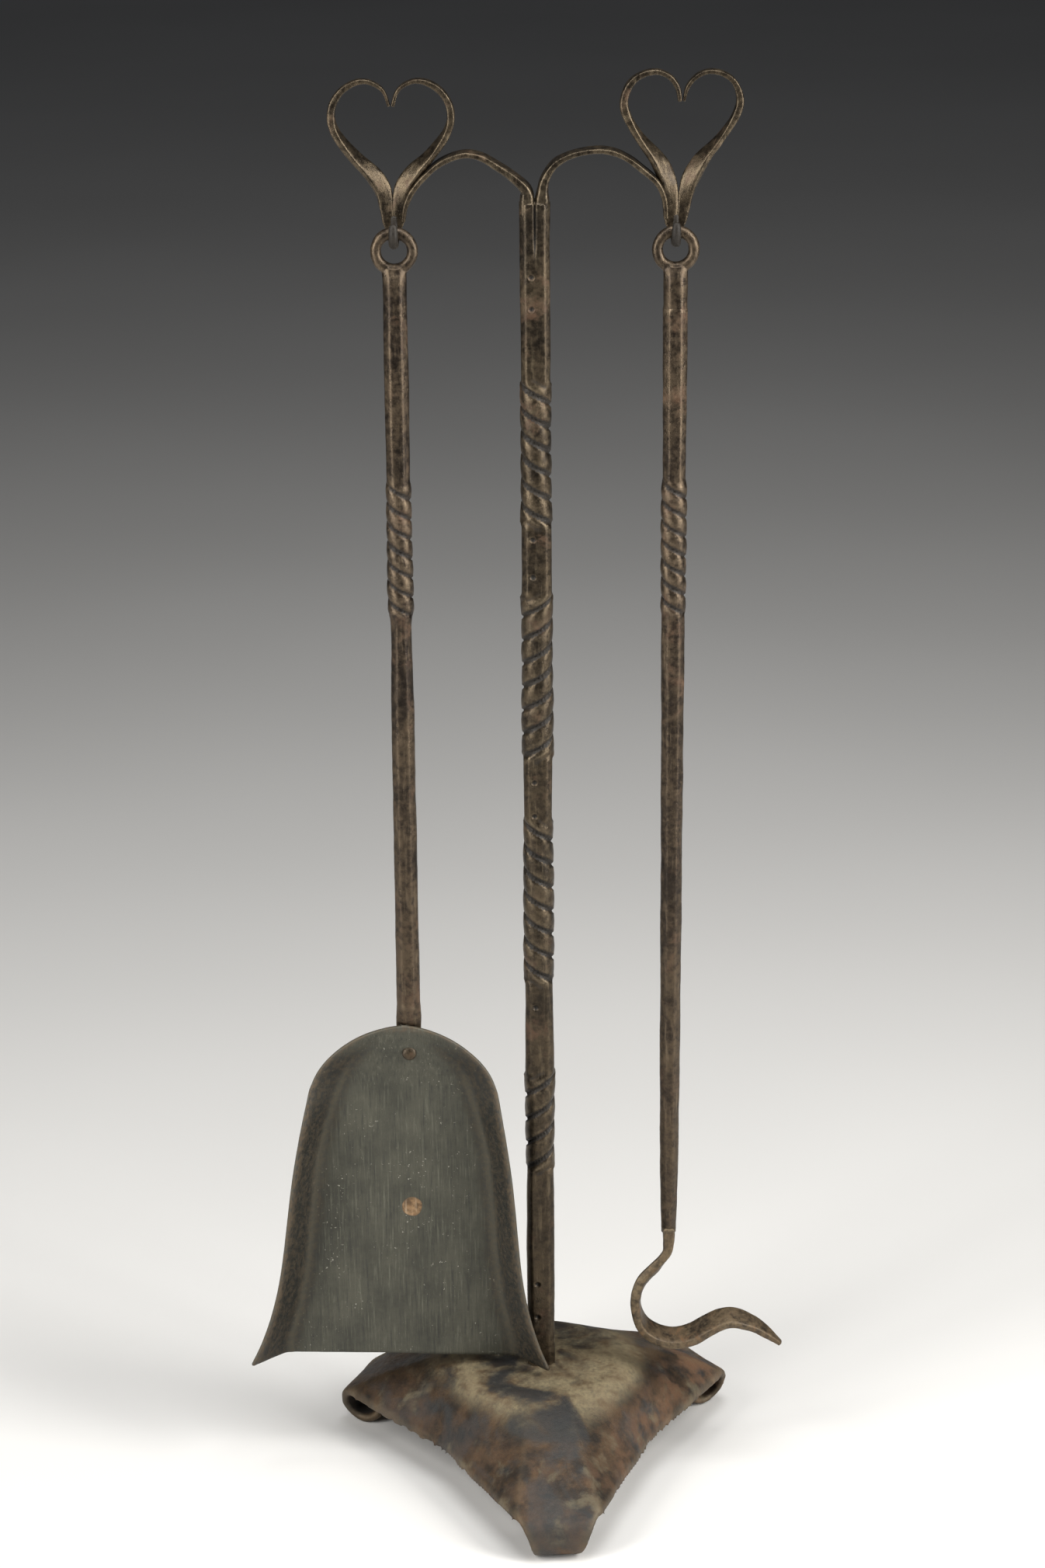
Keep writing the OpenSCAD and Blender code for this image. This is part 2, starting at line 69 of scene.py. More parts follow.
JOINT_AT = {j["child"]: np.array(j["pos_m"]) / MM for j in frame["joints"]}
EYE_SHOVEL, EYE_POKER = JOINT_AT["shovel"], JOINT_AT["poker"]
REACH = EYE_POKER[0]
EYE_Y, EYE_Z = EYE_POKER[1], EYE_POKER[2]
PLATE_TOP = box_mm("base_plate")[1][2]
ARM_ROOT_Z = box_mm("arm_left")[0][2]
STEM_Z = box_mm("heart_left_inner")[0][2]
PAN_LOW, PAN_HIGH = box_mm("shovel_pan")
CLAW_TOP = box_mm("poker_claw")[1][2]
SPLIT_Z = ARM_ROOT_Z + 39
POST_W = 15.9
SHAFT_D = 12.7
EYE_WIRE = 6.0
HOOK_WIRE = 5.2


# ---- smooth noise, curves and meshes ----

def hash01(cell, seed):
    h = (cell[..., 0] * 374761393 + cell[..., 1] * 668265263 + cell[..., 2] * 2147483647 + seed * 974634777)
    h = (h ^ (h >> 13)) * 1274126177 & 0xFFFFFFFF
    h = (h ^ (h >> 16)) & 0xFFFFFF
    return h / float(0xFFFFFF)


def noise(p, size, seed):
    """Smooth noise from -1 to 1 at points p, with features of that size in millimetres."""
    q = np.asarray(p, float) / size + seed * 17.31
    cell = np.floor(q).astype(np.int64)
    f = q - cell
    f = f * f * (3 - 2 * f)
    total = 0.0
    for dx in (0, 1):
        for dy in (0, 1):
            for dz in (0, 1):
                weight = (np.where(dx, f[..., 0], 1 - f[..., 0]) * np.where(dy, f[..., 1], 1 - f[..., 1])
                          * np.where(dz, f[..., 2], 1 - f[..., 2]))
                total = total + weight * hash01(cell + np.array([dx, dy, dz]), seed)
    return total * 2 - 1


def curve(points, step):
    """Catmull-Rom curve through rows of numbers, sampled every `step` of the first columns' length."""
    p = np.array(points, float)
    out = []
    for i in range(len(p) - 1):
        a, b, c, d = p[max(i - 1, 0)], p[i], p[i + 1], p[min(i + 2, len(p) - 1)]
        count = max(2, int(math.ceil(np.linalg.norm((c - b)[:2]) / step)))
        for t in np.arange(count) / count:
            out.append(0.5 * (2 * b + (c - a) * t + (2 * a - 5 * b + 4 * c - d) * t ** 2
                              + (3 * b - a - 3 * c + d) * t ** 3))
    out.append(p[-1])
    return np.array(out)


def ease(x):
    x = np.clip(x, 0, 1)
    return x * x * (3 - 2 * x)


def normals_of(rings):
    around = np.roll(rings, -1, 1) - np.roll(rings, 1, 1)
    along = np.empty_like(rings)
    along[1:-1] = rings[2:] - rings[:-2]
    along[0] = rings[1] - rings[0]
    along[-1] = rings[-1] - rings[-2]
    n = np.cross(around, along)
    return n / np.maximum(np.linalg.norm(n, axis=2, keepdims=True), 1e-9)


def hammer(rings, seed, marks):
    """Moves the skin in and out by noise; marks is a list of (feature size, depth)."""
    n = normals_of(rings)
    for k, (size, depth) in enumerate(marks):
        rings = rings + n * (noise(rings, size, seed + k) * depth)[..., None]
    return rings


def round_ends(rings, start=True, end=True, bulge=0.35, steps=4):
    """Closes a tube with rings that shrink to its middle, so that its ends look hammered round."""
    def cap(ring, before):
        centre = ring.mean(0)
        out = centre - before.mean(0)
        out /= max(np.linalg.norm(out), 1e-9)
        radius = np.linalg.norm(ring - centre, axis=1).min()
        made = []
        for i in range(1, steps + 1):
            a = math.pi / 2 * i / steps
            scale = max(math.cos(a), 0.03)
            made.append(centre + (ring - centre) * scale + out * radius * bulge * math.sin(a))
        return made
    first = cap(rings[0], rings[1])[::-1] if start else []
    last = cap(rings[-1], rings[-2]) if end else []
    return np.array([*first, *rings, *last])


def build(name, points, faces):
    mesh = bpy.data.meshes.new(name)
    mesh.from_pydata((np.asarray(points) * MM).tolist(), [], faces)
    mesh.update()
    mesh.polygons.foreach_set("use_smooth", [True] * len(mesh.polygons))
    piece = bpy.data.objects.new(name, mesh)
    bpy.context.scene.collection.objects.link(piece)
    return piece


def tube_faces(m, n, offset=0):
    i, j = np.meshgrid(np.arange(m - 1), np.arange(n), indexing="ij")
    a = i * n + j
    d = i * n + (j + 1) % n
    quads = np.stack([a, d, d + n, a + n], -1).reshape(-1, 4) + offset
    faces = quads.tolist()
    faces.append([offset + k for k in range(n)][::-1])
    faces.append([offset + (m - 1) * n + k for k in range(n)])
    return faces


def tube(name, *tubes):
    """One piece from one or more closed tubes of rings."""
    points, faces, offset = [], [], 0
    for rings in tubes:
        m, n = rings.shape[:2]
        points.append(rings.reshape(-1, 3))
        faces += tube_faces(m, n, offset)
        offset += m * n
    return build(name, np.concatenate(points), faces)


def remesh(piece, voxel, smooth_steps):
    """Fuses a piece's overlapping shells into one skin and relaxes it."""
    mod = piece.modifiers.new("fuse", "REMESH")
    mod.mode = "VOXEL"
    mod.voxel_size = voxel * MM
    mesh = bpy.data.meshes.new_from_object(piece.evaluated_get(bpy.context.evaluated_depsgraph_get()))
    piece.modifiers.clear()
    old = piece.data
    piece.data = mesh
    bpy.data.meshes.remove(old)
    mesh.name = piece.name
    co = coords(mesh)
    for _ in range(smooth_steps):
        co = co + 0.5 * (neighbour_mean(mesh, co) - co)
    set_coords(mesh, co)
    mesh.polygons.foreach_set("use_smooth", [True] * len(mesh.polygons))
    return piece


def coords(mesh):
    co = np.empty(len(mesh.vertices) * 3)
    mesh.vertices.foreach_get("co", co)
    return co.reshape(-1, 3)


def set_coords(mesh, co):
    mesh.vertices.foreach_set("co", co.astype(np.float32).ravel())
    mesh.update()


def vertex_normals(mesh):
    n = np.empty(len(mesh.vertices) * 3)
    mesh.vertices.foreach_get("normal", n)
    return n.reshape(-1, 3)


def edge_ends(mesh):
    e = np.empty(len(mesh.edges) * 2, np.int64)
    mesh.edges.foreach_get("vertices", e)
    return e.reshape(-1, 2)


def neighbour_mean(mesh, values):
    e = edge_ends(mesh)
    total = np.zeros_like(values)
    count = np.zeros(len(values))
    np.add.at(total, e[:, 0], values[e[:, 1]])
    np.add.at(total, e[:, 1], values[e[:, 0]])
    np.add.at(count, e.ravel(), 1)
    count = np.maximum(count, 1)
    return total / (count[:, None] if values.ndim > 1 else count)


def mark_wear_and_shade(piece, reach=6, gain=1.0):
    """Stores how far each point stands out of its surroundings (wear) or lies in a hollow (for painted
    shade).
    """
    mesh = piece.data
    co = coords(mesh) / MM
    around = co.copy()
    for _ in range(reach):
        around = neighbour_mean(mesh, around)
    out = ((co - around) * vertex_normals(mesh)).sum(1)
    for _ in range(2):
        out = neighbour_mean(mesh, out)
    scale = gain * 3.0
    for name, values in (("wear", out), ("hollow_shade", -out)):
        layer = mesh.attributes.new(name, "FLOAT", "POINT")
        layer.data.foreach_set("value", np.clip(values * scale, 0, 1).astype(np.float32))


# ---- materials ----

class Nodes:
    """A short way to write a material's nodes."""

    def __init__(self, name):
        self.material = bpy.data.materials.new(name)
        self.material.use_nodes = True
        self.tree = self.material.node_tree
        self.tree.nodes.clear()
        self.out = self.tree.nodes.new("ShaderNodeOutputMaterial")
        self.shader = self.tree.nodes.new("ShaderNodeBsdfPrincipled")
        self.tree.links.new(self.shader.outputs[0], self.out.inputs["Surface"])
        self.where = self.tree.nodes.new("ShaderNodeTexCoord").outputs["Object"]

    def put(self, value, socket):
        if isinstance(value, bpy.types.NodeSocket):
            self.tree.links.new(value, socket)
        elif socket.type == "RGBA" and len(value) == 3:
            socket.default_value = (*value, 1)
        else:
            socket.default_value = value

    def stretched(self, scale, turn=(0, 0, 0)):
        node = self.tree.nodes.new("ShaderNodeMapping")
        node.inputs["Scale"].default_value = scale
        node.inputs["Rotation"].default_value = turn
        self.put(self.where, node.inputs["Vector"])
        return node.outputs[0]

    def noise(self, size, detail=4, rough=0.55, where=None, distort=0.0):
        node = self.tree.nodes.new("ShaderNodeTexNoise")
        node.inputs["Scale"].default_value = 1 / (size * MM)
        node.inputs["Detail"].default_value = detail
        node.inputs["Roughness"].default_value = rough
        node.inputs["Distortion"].default_value = distort
        self.put(self.where if where is None else where, node.inputs["Vector"])
        return node.outputs["Fac"]

    def cells(self, size, where=None):
        node = self.tree.nodes.new("ShaderNodeTexVoronoi")
        node.inputs["Scale"].default_value = 1 / (size * MM)
        self.put(self.where if where is None else where, node.inputs["Vector"])
        return node.outputs["Distance"]

    def attribute(self, name):
        node = self.tree.nodes.new("ShaderNodeAttribute")
        node.attribute_name = name
        return node.outputs["Fac"]

    def along(self, axis):
        node = self.tree.nodes.new("ShaderNodeSeparateXYZ")
        self.put(self.where, node.inputs[0])
        return node.outputs[axis]

    def span(self, value, low, high, to_low=0.0, to_high=1.0, soft=True):
        node = self.tree.nodes.new("ShaderNodeMapRange")
        node.interpolation_type = "SMOOTHSTEP" if soft else "LINEAR"
        node.clamp = True
        for k, v in enumerate((value, low, high, to_low, to_high)):
            self.put(v, node.inputs[k])
        return node.outputs[0]

    def math(self, kind, a, b=0.0):
        node = self.tree.nodes.new("ShaderNodeMath")
        node.operation = kind
        self.put(a, node.inputs[0])
        self.put(b, node.inputs[1])
        return node.outputs[0]

    def both(self, a, b):
        return self.math("MULTIPLY", a, b)

    def mix(self, share, a, b, kind="MIX"):
        node = self.tree.nodes.new("ShaderNodeMix")
        node.data_type = "RGBA"
        node.blend_type = kind
        self.put(share, node.inputs[0])
        self.put(a, node.inputs[6])
        self.put(b, node.inputs[7])
        return node.outputs[2]

    def bump(self, height, distance, below=None):
        node = self.tree.nodes.new("ShaderNodeBump")
        node.inputs["Strength"].default_value = 1.0
        node.inputs["Distance"].default_value = distance * MM
        self.put(height, node.inputs["Height"])
        if below is not None:
            self.put(below, node.inputs["Normal"])
        return node.outputs[0]


def forged_iron(name, dark, mid, light, rust, patch=22.0, shine=0.30, metal=0.85):
    """Iron with forge scale, rubbed ridges, painted shade in its hollows and rust stains."""
    n = Nodes(name)
    patches = n.noise(patch, 5, 0.6)
    mottle = n.noise(3.5, 6, 0.65)
    grain = n.noise(0.7, 3, 0.6)
    pits = n.cells(1.6)
    streaks = n.noise(2.2, 4, 0.6, n.stretched((1, 1, 0.12)))
    blend = n.math("ADD", n.both(patches, 0.5), n.both(mottle, 0.5))
    colour = n.mix(n.span(blend, 0.38, 0.62), dark, mid)
    colour = n.mix(n.both(n.span(streaks, 0.52, 0.76), 0.35), colour, light)
    rusty = n.both(n.span(n.noise(patch * 0.8, 5, 0.7, distort=0.4), 0.54, 0.72), 0.75)
    colour = n.mix(rusty, colour, rust)
    ridge = n.both(n.span(n.attribute("wear"), 0.15, 0.9), n.span(mottle, 0.35, 0.65, 0.1, 1.0))
    colour = n.mix(n.both(ridge, 0.36), colour, light)
    # Painted shade: the hollows are darkened towards black in the colour; they are also made matt.
    hollow = n.span(n.attribute("hollow_shade"), 0.05, 0.5)
    colour = n.mix(n.both(hollow, 0.85), colour, tuple(0.35 * c for c in dark))
    n.put(colour, n.shader.inputs["Base Color"])
    matt = n.math("MAXIMUM", rusty, n.both(hollow, 0.8))
    n.put(n.span(matt, 0.0, 1.0, metal, 0.15, soft=False), n.shader.inputs["Metallic"])
    rough = n.span(mottle, 0.3, 0.7, shine, shine + 0.2)
    rough = n.math("ADD", rough, n.both(matt, 0.25))
    rough = n.math("SUBTRACT", rough, n.both(ridge, 0.08))
    n.put(rough, n.shader.inputs["Roughness"])
    height = n.math("ADD", n.both(mottle, 0.6), n.both(grain, 0.25))
    height = n.math("SUBTRACT", height, n.both(n.span(pits, 0.0, 0.35, 1.0, 0.0), 0.25))
    n.put(n.bump(height, 0.35), n.shader.inputs["Normal"])
    n.shader.inputs["Specular IOR Level"].default_value = 0.5
    return n.material


DARK_IRON = forged_iron("dark_iron", (0.028, 0.022, 0.016), (0.080, 0.060, 0.038), (0.22, 0.175, 0.115),
                        (0.075, 0.036, 0.016))
WARM_IRON = forged_iron("warm_iron", (0.030, 0.023, 0.018), (0.095, 0.070, 0.046), (0.26, 0.200, 0.135),
                        (0.10, 0.052, 0.025), patch=30)
CLAW_IRON = forged_iron("claw_iron", (0.040, 0.030, 0.020), (0.115, 0.080, 0.046), (0.27, 0.21, 0.125),
                        (0.13, 0.065, 0.026), patch=14, shine=0.42, metal=0.55)


def base_iron():
    """The plate: brown-black iron, ash dust on its flat top, bluish scale and rust on its slopes."""
    n = Nodes("base_iron")
    broad = n.noise(34, 4, 0.55, distort=0.5)
    patches = n.noise(12, 6, 0.65)
    mottle = n.noise(2.6, 6, 0.7)
    grain = n.noise(0.6, 3, 0.6)
    height = n.along(2)
    x = n.along(0)
    colour = n.mix(n.span(patches, 0.35, 0.65), (0.026, 0.020, 0.015), (0.085, 0.052, 0.028))
    blue = n.both(n.span(broad, 0.47, 0.62), 0.75)
    colour = n.mix(blue, colour, (0.042, 0.045, 0.046))
    on_top = n.span(height, (PLATE_TOP - 14) * MM, (PLATE_TOP - 1.5) * MM)
    ash = n.both(on_top, n.span(n.math("ADD", n.both(broad, 0.7), n.both(patches, 0.3)), 0.60, 0.42))
    colour = n.mix(n.both(ash, n.span(mottle, 0.25, 0.7, 0.35, 0.95)), colour, (0.21, 0.170, 0.095))
    slope = n.span(height, (PLATE_TOP - 8) * MM, (PLATE_TOP - 22) * MM)
    right = n.span(x, 0.005, 0.075)
    rust_spots = n.span(n.noise(16, 5, 0.6), 0.42, 0.62)
    rust = n.both(n.both(slope, rust_spots), n.math("ADD", n.both(right, 0.6), 0.25))
    colour = n.mix(rust, colour, (0.098, 0.046, 0.018))
    tan = n.both(n.both(slope, n.span(n.noise(20, 5, 0.6, distort=0.3), 0.52, 0.68)), 0.65)
    colour = n.mix(tan, colour, (0.125, 0.105, 0.062))
    ridge = n.span(n.attribute("wear"), 0.1, 0.6)
    colour = n.mix(n.both(ridge, 0.35), colour, (0.17, 0.13, 0.080))
    # Painted shade: hollows, such as the insides of the scroll feet, are darkened in the colour.
    hollow = n.span(n.attribute("hollow_shade"), 0.1, 0.6)
    colour = n.mix(n.both(hollow, 0.7), colour, (0.022, 0.019, 0.017))
    n.put(colour, n.shader.inputs["Base Color"])
    matt = n.math("MAXIMUM", ash, n.math("MAXIMUM", rust, tan))
    n.put(n.span(matt, 0.0, 0.8, 0.6, 0.05, soft=False), n.shader.inputs["Metallic"])
    rough = n.math("ADD", n.span(mottle, 0.3, 0.7, 0.48, 0.66), n.both(matt, 0.2))
    n.put(rough, n.shader.inputs["Roughness"])
    bumps = n.math("ADD", n.both(mottle, 0.7), n.both(grain, 0.3))
    n.put(n.bump(bumps, 0.45), n.shader.inputs["Normal"])
    return n.material


def pan_iron():
    """The pan: sooty grey-green iron with fine upright scratches, light specks, a rusty rim, painted shade on
    its side walls and a painted highlight along its creases.
    """
    n = Nodes("pan_iron")
    scratch = n.noise(1.1, 5, 0.7, n.stretched((1, 1, 0.05)))
    cloud = n.noise(26, 5, 0.6)
    mottle = n.noise(3.0, 6, 0.7)
    grain = n.noise(0.55, 3, 0.6)
    colour = n.mix(n.span(cloud, 0.2, 0.8), (0.040, 0.040, 0.031), (0.082, 0.080, 0.060))
    colour = n.mix(n.both(n.span(scratch, 0.52, 0.72), 0.55), colour, (0.15, 0.152, 0.115))
    colour = n.mix(n.both(n.span(scratch, 0.46, 0.34), 0.5), colour, (0.022, 0.024, 0.023))
    specks = n.both(n.span(n.noise(1.5, 2, 0.5), 0.66, 0.74), n.span(n.noise(18, 3, 0.6), 0.48, 0.64))
    colour = n.mix(n.both(specks, 0.8), colour, (0.38, 0.37, 0.31))
    # Painted shade: the side walls and a band of floor next to them are painted near black.
    side = n.attribute("side")
    side_shade_colour = n.mix(n.span(mottle, 0.4, 0.62), (0.016, 0.016, 0.014), (0.050, 0.038, 0.024))
    colour = n.mix(n.both(side, 0.85), colour, side_shade_colour)
    # Painted highlight: a lighter line along the bead where the floor meets each side wall.
    crease_highlight = n.attribute("crease_highlight")
    colour = n.mix(n.both(crease_highlight, 0.35), colour, (0.115, 0.105, 0.072))
    rim = n.attribute("rim")
    colour = n.mix(n.both(rim, n.span(mottle, 0.35, 0.65, 0.05, 0.75)), colour, (0.090, 0.062, 0.034))
    n.put(colour, n.shader.inputs["Base Color"])
    n.put(n.span(n.math("MAXIMUM", specks, rim), 0, 1, 0.45, 0.1, soft=False), n.shader.inputs["Metallic"])
    n.put(n.span(mottle, 0.3, 0.7, 0.5, 0.68), n.shader.inputs["Roughness"])
    bumps = n.math("ADD", n.both(mottle, 0.5), n.math("ADD", n.both(grain, 0.25), n.both(scratch, 0.25)))
    n.put(n.bump(bumps, 0.35), n.shader.inputs["Normal"])
    return n.material


BASE_IRON = base_iron()
PAN_IRON = pan_iron()
SPOT_IRON = forged_iron("rubbed_spot", (0.10, 0.060, 0.030), (0.30, 0.19, 0.10), (0.70, 0.58, 0.42),
                        (0.22, 0.11, 0.045), patch=4, shine=0.40, metal=0.5)


def finish_piece(piece, material, body, slot, *nodes, reach=6, gain=1.0):
    mark_wear_and_shade(piece, reach, gain)
    piece.data.materials.append(material)
    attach(piece, body)
    if nodes:
        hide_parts(*nodes)
    return piece


# ---- base plate ----

SIDE_REACH = 71.0
RIM_Z = 28.0
FOOT_REACH = 112.0
ROLL_R = 14.0
MEET = math.radians(68)
LEG_END = FOOT_REACH + ROLL_R * math.cos(MEET)
LEG_END_Z = ROLL_R * (1 + math.sin(MEET))
FOOT_ROOT = 106.0
FOOT_ROOT_HALF = 29.5
FOOT_FLARE = 0.446
FOOT_END_HALF = FOOT_ROOT_HALF - FOOT_FLARE * 14
FOOT_TURNS = [math.radians(a) for a in (155, 35, -86)]
PLATE_T = 5.6
CREST_R = 46.0


def plate_edge(off):
    """Distance from the axis to the plate's edge at an angle from a leg's middle line."""
    side = SIDE_REACH / np.cos(math.radians(60) - off)
    foot = (FOOT_ROOT_HALF + FOOT_FLARE * FOOT_ROOT) / (np.sin(off) + FOOT_FLARE * np.cos(off))
    return np.minimum(LEG_END / np.cos(off), np.maximum(side, foot))


def plate_height(r, edge, off):
    leg = (1 + np.cos(3 * off)) / 2
    end_z = leg * LEG_END_Z + (1 - leg) * RIM_Z
    s = np.clip((r - CREST_R * (1 - 0.12 * leg)) / np.maximum(edge - CREST_R * (1 - 0.12 * leg), 1), 0, 1)
    power = 1.35 * leg + 1.75 * (1 - leg)
    return PLATE_TOP - (PLATE_TOP - end_z) * s ** power


def off_from_leg(angle):
    best = np.full(np.shape(angle), 9.0)
    for turn in FOOT_TURNS:
        best = np.minimum(best, np.abs((angle - turn + math.pi) % (2 * math.pi) - math.pi))
    return np.minimum(best, math.radians(60))


FOOT_WAY = [0, 8, 16, 26, 60]
FOOT_HALVES = [FOOT_END_HALF, 20.5, 16.5, 13.5, 12.5]


def foot_half(way):
    """Half width of a foot's strip by its way along the strip past the plate's leg."""
    return np.interp(way, FOOT_WAY, FOOT_HALVES)


def foot_roll(turn):
    """The strip of one foot: it leaves the leg on its slope, rolls under and stops short of itself."""
    way = np.arange(MEET + math.radians(14), math.radians(-162), math.radians(-3.5))
    spiral = 1 - 0.05 * ease(np.linspace(-0.2, 1, len(way)))
    mid_r = (ROLL_R - PLATE_T / 2) * spiral
    length = np.concatenate([[0], np.cumsum(np.abs(np.diff(way)) * mid_r[1:])])
    rings = []
    side = np.array([-math.sin(turn), math.cos(turn), 0])
    out = np.array([math.cos(turn), math.sin(turn), 0])
    up = np.array([0, 0, 1.0])
    n_side, n_end = 13, 3
    for a, r, l in zip(way, mid_r, length):
        centre = out * FOOT_REACH + up * ROLL_R
        radial = out * math.cos(a) + up * math.sin(a)
        half = foot_half(l)
        t = PLATE_T / 2 * (1 - 0.25 * l / length[-1])
        rows = []
        for u in np.linspace(1, -1, n_side):
            rows.append(centre + radial * (r + t) + side * u * half)
        for v in np.linspace(1, -1, n_end + 2)[1:-1]:
            rows.append(centre + radial * (r + v * t) - side * (half + 0.5 * t * math.sqrt(1 - v * v)))
        for u in np.linspace(-1, 1, n_side):
            rows.append(centre + radial * (r - t) + side * u * half)
        for v in np.linspace(-1, 1, n_end + 2)[1:-1]:
            rows.append(centre + radial * (r + v * t) + side * (half + 0.5 * t * math.sqrt(1 - v * v)))
        rings.append(rows)
    return np.array(rings)


def base_plate():
    columns, rows = 240, 46
    angle = np.linspace(0, 2 * math.pi, columns, endpoint=False)
    off = off_from_leg(angle)
    edge = plate_edge(off)
    share = np.linspace(0.06, 1, rows)
    top, under = [], []
    for s in share:
        r = edge * s
        z = plate_height(r, edge, off)
        ring = np.stack([r * np.cos(angle), r * np.sin(angle), z], 1)
        top.append(ring)
        under.append(ring - np.array([0, 0, PLATE_T]))
    rings = np.array(under + top[::-1])
    shells = [rings] + [foot_roll(turn) for turn in FOOT_TURNS]
    piece = tube("base_skin", *shells)
    remesh(piece, 1.2, 10)
    co = coords(piece.data) / MM
    n = vertex_normals(piece.data)
    for size, depth, seed in ((42, 0.9, 1), (17, 0.45, 2), (6, 0.12, 3), (2.6, 0.05, 4)):
        co = co + n * (noise(co, size, seed) * depth)[:, None]
    # The relaxed feet are let down again until they stand on the floor.
    co[:, 2] -= co[:, 2].min() * np.clip(1 - co[:, 2] / 20, 0, 1)
    # Whatever stands above the plate's flat top is pressed down to it.
    high = co[:, 2] > PLATE_TOP
    co[high, 2] = PLATE_TOP - 0.02 * (co[high, 2] - PLATE_TOP)
    set_coords(piece.data, co * MM)
    return finish_piece(piece, BASE_IRON, "stand", "dusty_iron", "base_plate", reach=5, gain=0.8)


base_plate()


# ---- bars with a polar section: post and shafts ----

def square_radius(angle, half, chamfer):
    """Distance from a bar's middle to the skin of a square with soft chamfered corners."""
    face = half / np.maximum(np.abs(np.cos((angle + math.pi / 4) % (math.pi / 2) - math.pi / 4)), 0.5)
    plane = (2 * half - chamfer) / math.sqrt(2)
    corner = plane / np.maximum(np.abs(np.cos(angle % (math.pi / 2) - math.pi / 4)), 0.5)
    soft = 0.35
    return -soft * np.log(np.exp(-face / soft) + np.exp(-corner / soft))


def screw_radius(angle, half, groove, width=math.radians(20)):
    """The same bar's skin inside a twist: two long bodies with a narrow groove between them."""
    away = np.abs((angle + math.pi / 2) % math.pi - math.pi / 2)
    dip = np.clip(1 - away / width, 0, 1)
    body = np.cos(angle + math.pi / 2) ** 2
    return half + 0.45 + 0.35 * body - (groove + 0.4) * dip ** 1.25


def front_angles(count, crowd=0.35):
    """Angles all round a bar, closer together at its front."""
    u = np.linspace(0, 2 * math.pi, count, endpoint=False)
    return -math.pi / 2 + u - crowd * np.sin(u)


def twisted_bar(levels, twists, half, chamfer, groove, angles, wide=None, deep=None, lead=5.0):
    """Rings of an upright bar. A twist is (low, high, half turns, hand).

    wide and deep scale x and y by height.
    """
    rings = []
    for z in levels:
        turn, share = 0.0, 0.0
        for low, high, halves, hand in twists:
            if z >= high:
                turn += hand * math.pi * halves
            elif z > low:
                turn += hand * math.pi * halves * (z - low) / (high - low)
                share = float(min(ease((z - low) / lead), ease((high - z) / lead)))
        h = half(z)
        local = angles - turn
        r = (1 - share) * square_radius(local, h, chamfer) + share * screw_radius(local, h, groove)
        x = r * np.cos(angles) * (wide(z) if wide else 1.0)
        y = r * np.sin(angles) * (deep(z) if deep else 1.0)
        rings.append(np.stack([x, y, np.full_like(x, z)], 1))
    return np.array(rings)


POST_TWISTS = [(186.5, 247.5, 4, 1), (303, 401, 7, -1), (437, 531, 7, 1), (570, 649, 6, -1)]
DOTS_Z = [114.5, 93, 289, 424, 404, 563, 542, 706, 689]


def fine_levels(low, high, step, spots, near=2.6, fine=0.45):
    levels = [low]
    while levels[-1] < high:
        close = any(abs(levels[-1] - s) < near for s in spots)
        levels.append(min(high, levels[-1] + (fine if close else step)))
    return np.array(levels)


def post_bar():
    top = SPLIT_Z - 7
    levels = fine_levels(PLATE_TOP - 1.5, top, 1.15, DOTS_Z)
    angles = front_angles(84)
    half = lambda z: POST_W / 2 + 0.25 * math.sin(z / 23.0) * math.sin(z / 61.0 + 1)
    rings = twisted_bar(levels, POST_TWISTS, half, 3.0, 1.9, angles)
    rings = hammer(rings, 11, [(46, 0.35), (15, 0.22), (5, 0.07)])
    x, y, z = rings[..., 0], rings[..., 1], rings[..., 2]
    # The split's seam runs down the front and the back and fades out at the arms' roots.
    seam = np.exp(-(x / 0.6) ** 2) * ease((z - (ARM_ROOT_Z - 2)) / 24)
    rings[..., 1] -= np.sign(y) * seam * 1.5
    for dot in DOTS_Z:
        away = np.hypot(x + 2.0, z - dot)
        pit = 1.1 * np.clip(1 - (away / 1.75) ** 2, 0, 1) - 0.16 * np.exp(-((away - 2.3) / 0.6) ** 2)
        rings[..., 1] += np.where(y < 0, pit, 0)
    rings = round_ends(rings, start=False, end=True, bulge=0.5)
    piece = tube("post_bar", rings)
    return finish_piece(piece, DARK_IRON, "stand", "forged_iron", "post", reach=5, gain=1.2)


post_bar()


# ---- flat strips that bend and twist in the upright plane ----

def soft_box(width, depth, count=28, power=4.5):
    """Section of a flat bar with round corners: across its thickness and its depth."""
    a = np.linspace(0, 2 * math.pi, count, endpoint=False) + math.pi / count
    e = 2 / power
    return np.stack([np.sign(np.cos(a)) * np.abs(np.cos(a)) ** e * width / 2,
                     np.sign(np.sin(a)) * np.abs(np.sin(a)) ** e * depth / 2], 1)


def strip(points, step=1.0, y=0.0, count=28, power=4.5):
    """Rings of a flat bar. A point is (x, z, thickness, depth, turn in degrees, y offset)."""
    path = curve(points, step)
    along = np.gradient(path[:, :2], axis=0)
    along /= np.maximum(np.linalg.norm(along, axis=1, keepdims=True), 1e-9)
    rings = []
    for (x, z, thick, deep, turn, dy), (tx, tz) in zip(path, along):
        c, s = math.cos(math.radians(turn)), math.sin(math.radians(turn))
        box = soft_box(thick, deep, count, power)
        across = box[:, 0] * c - box[:, 1] * s
        back = box[:, 0] * s + box[:, 1] * c
        rings.append(np.stack([x + tz * across, y + dy + back, z - tx * across], 1))
    return np.array(rings)


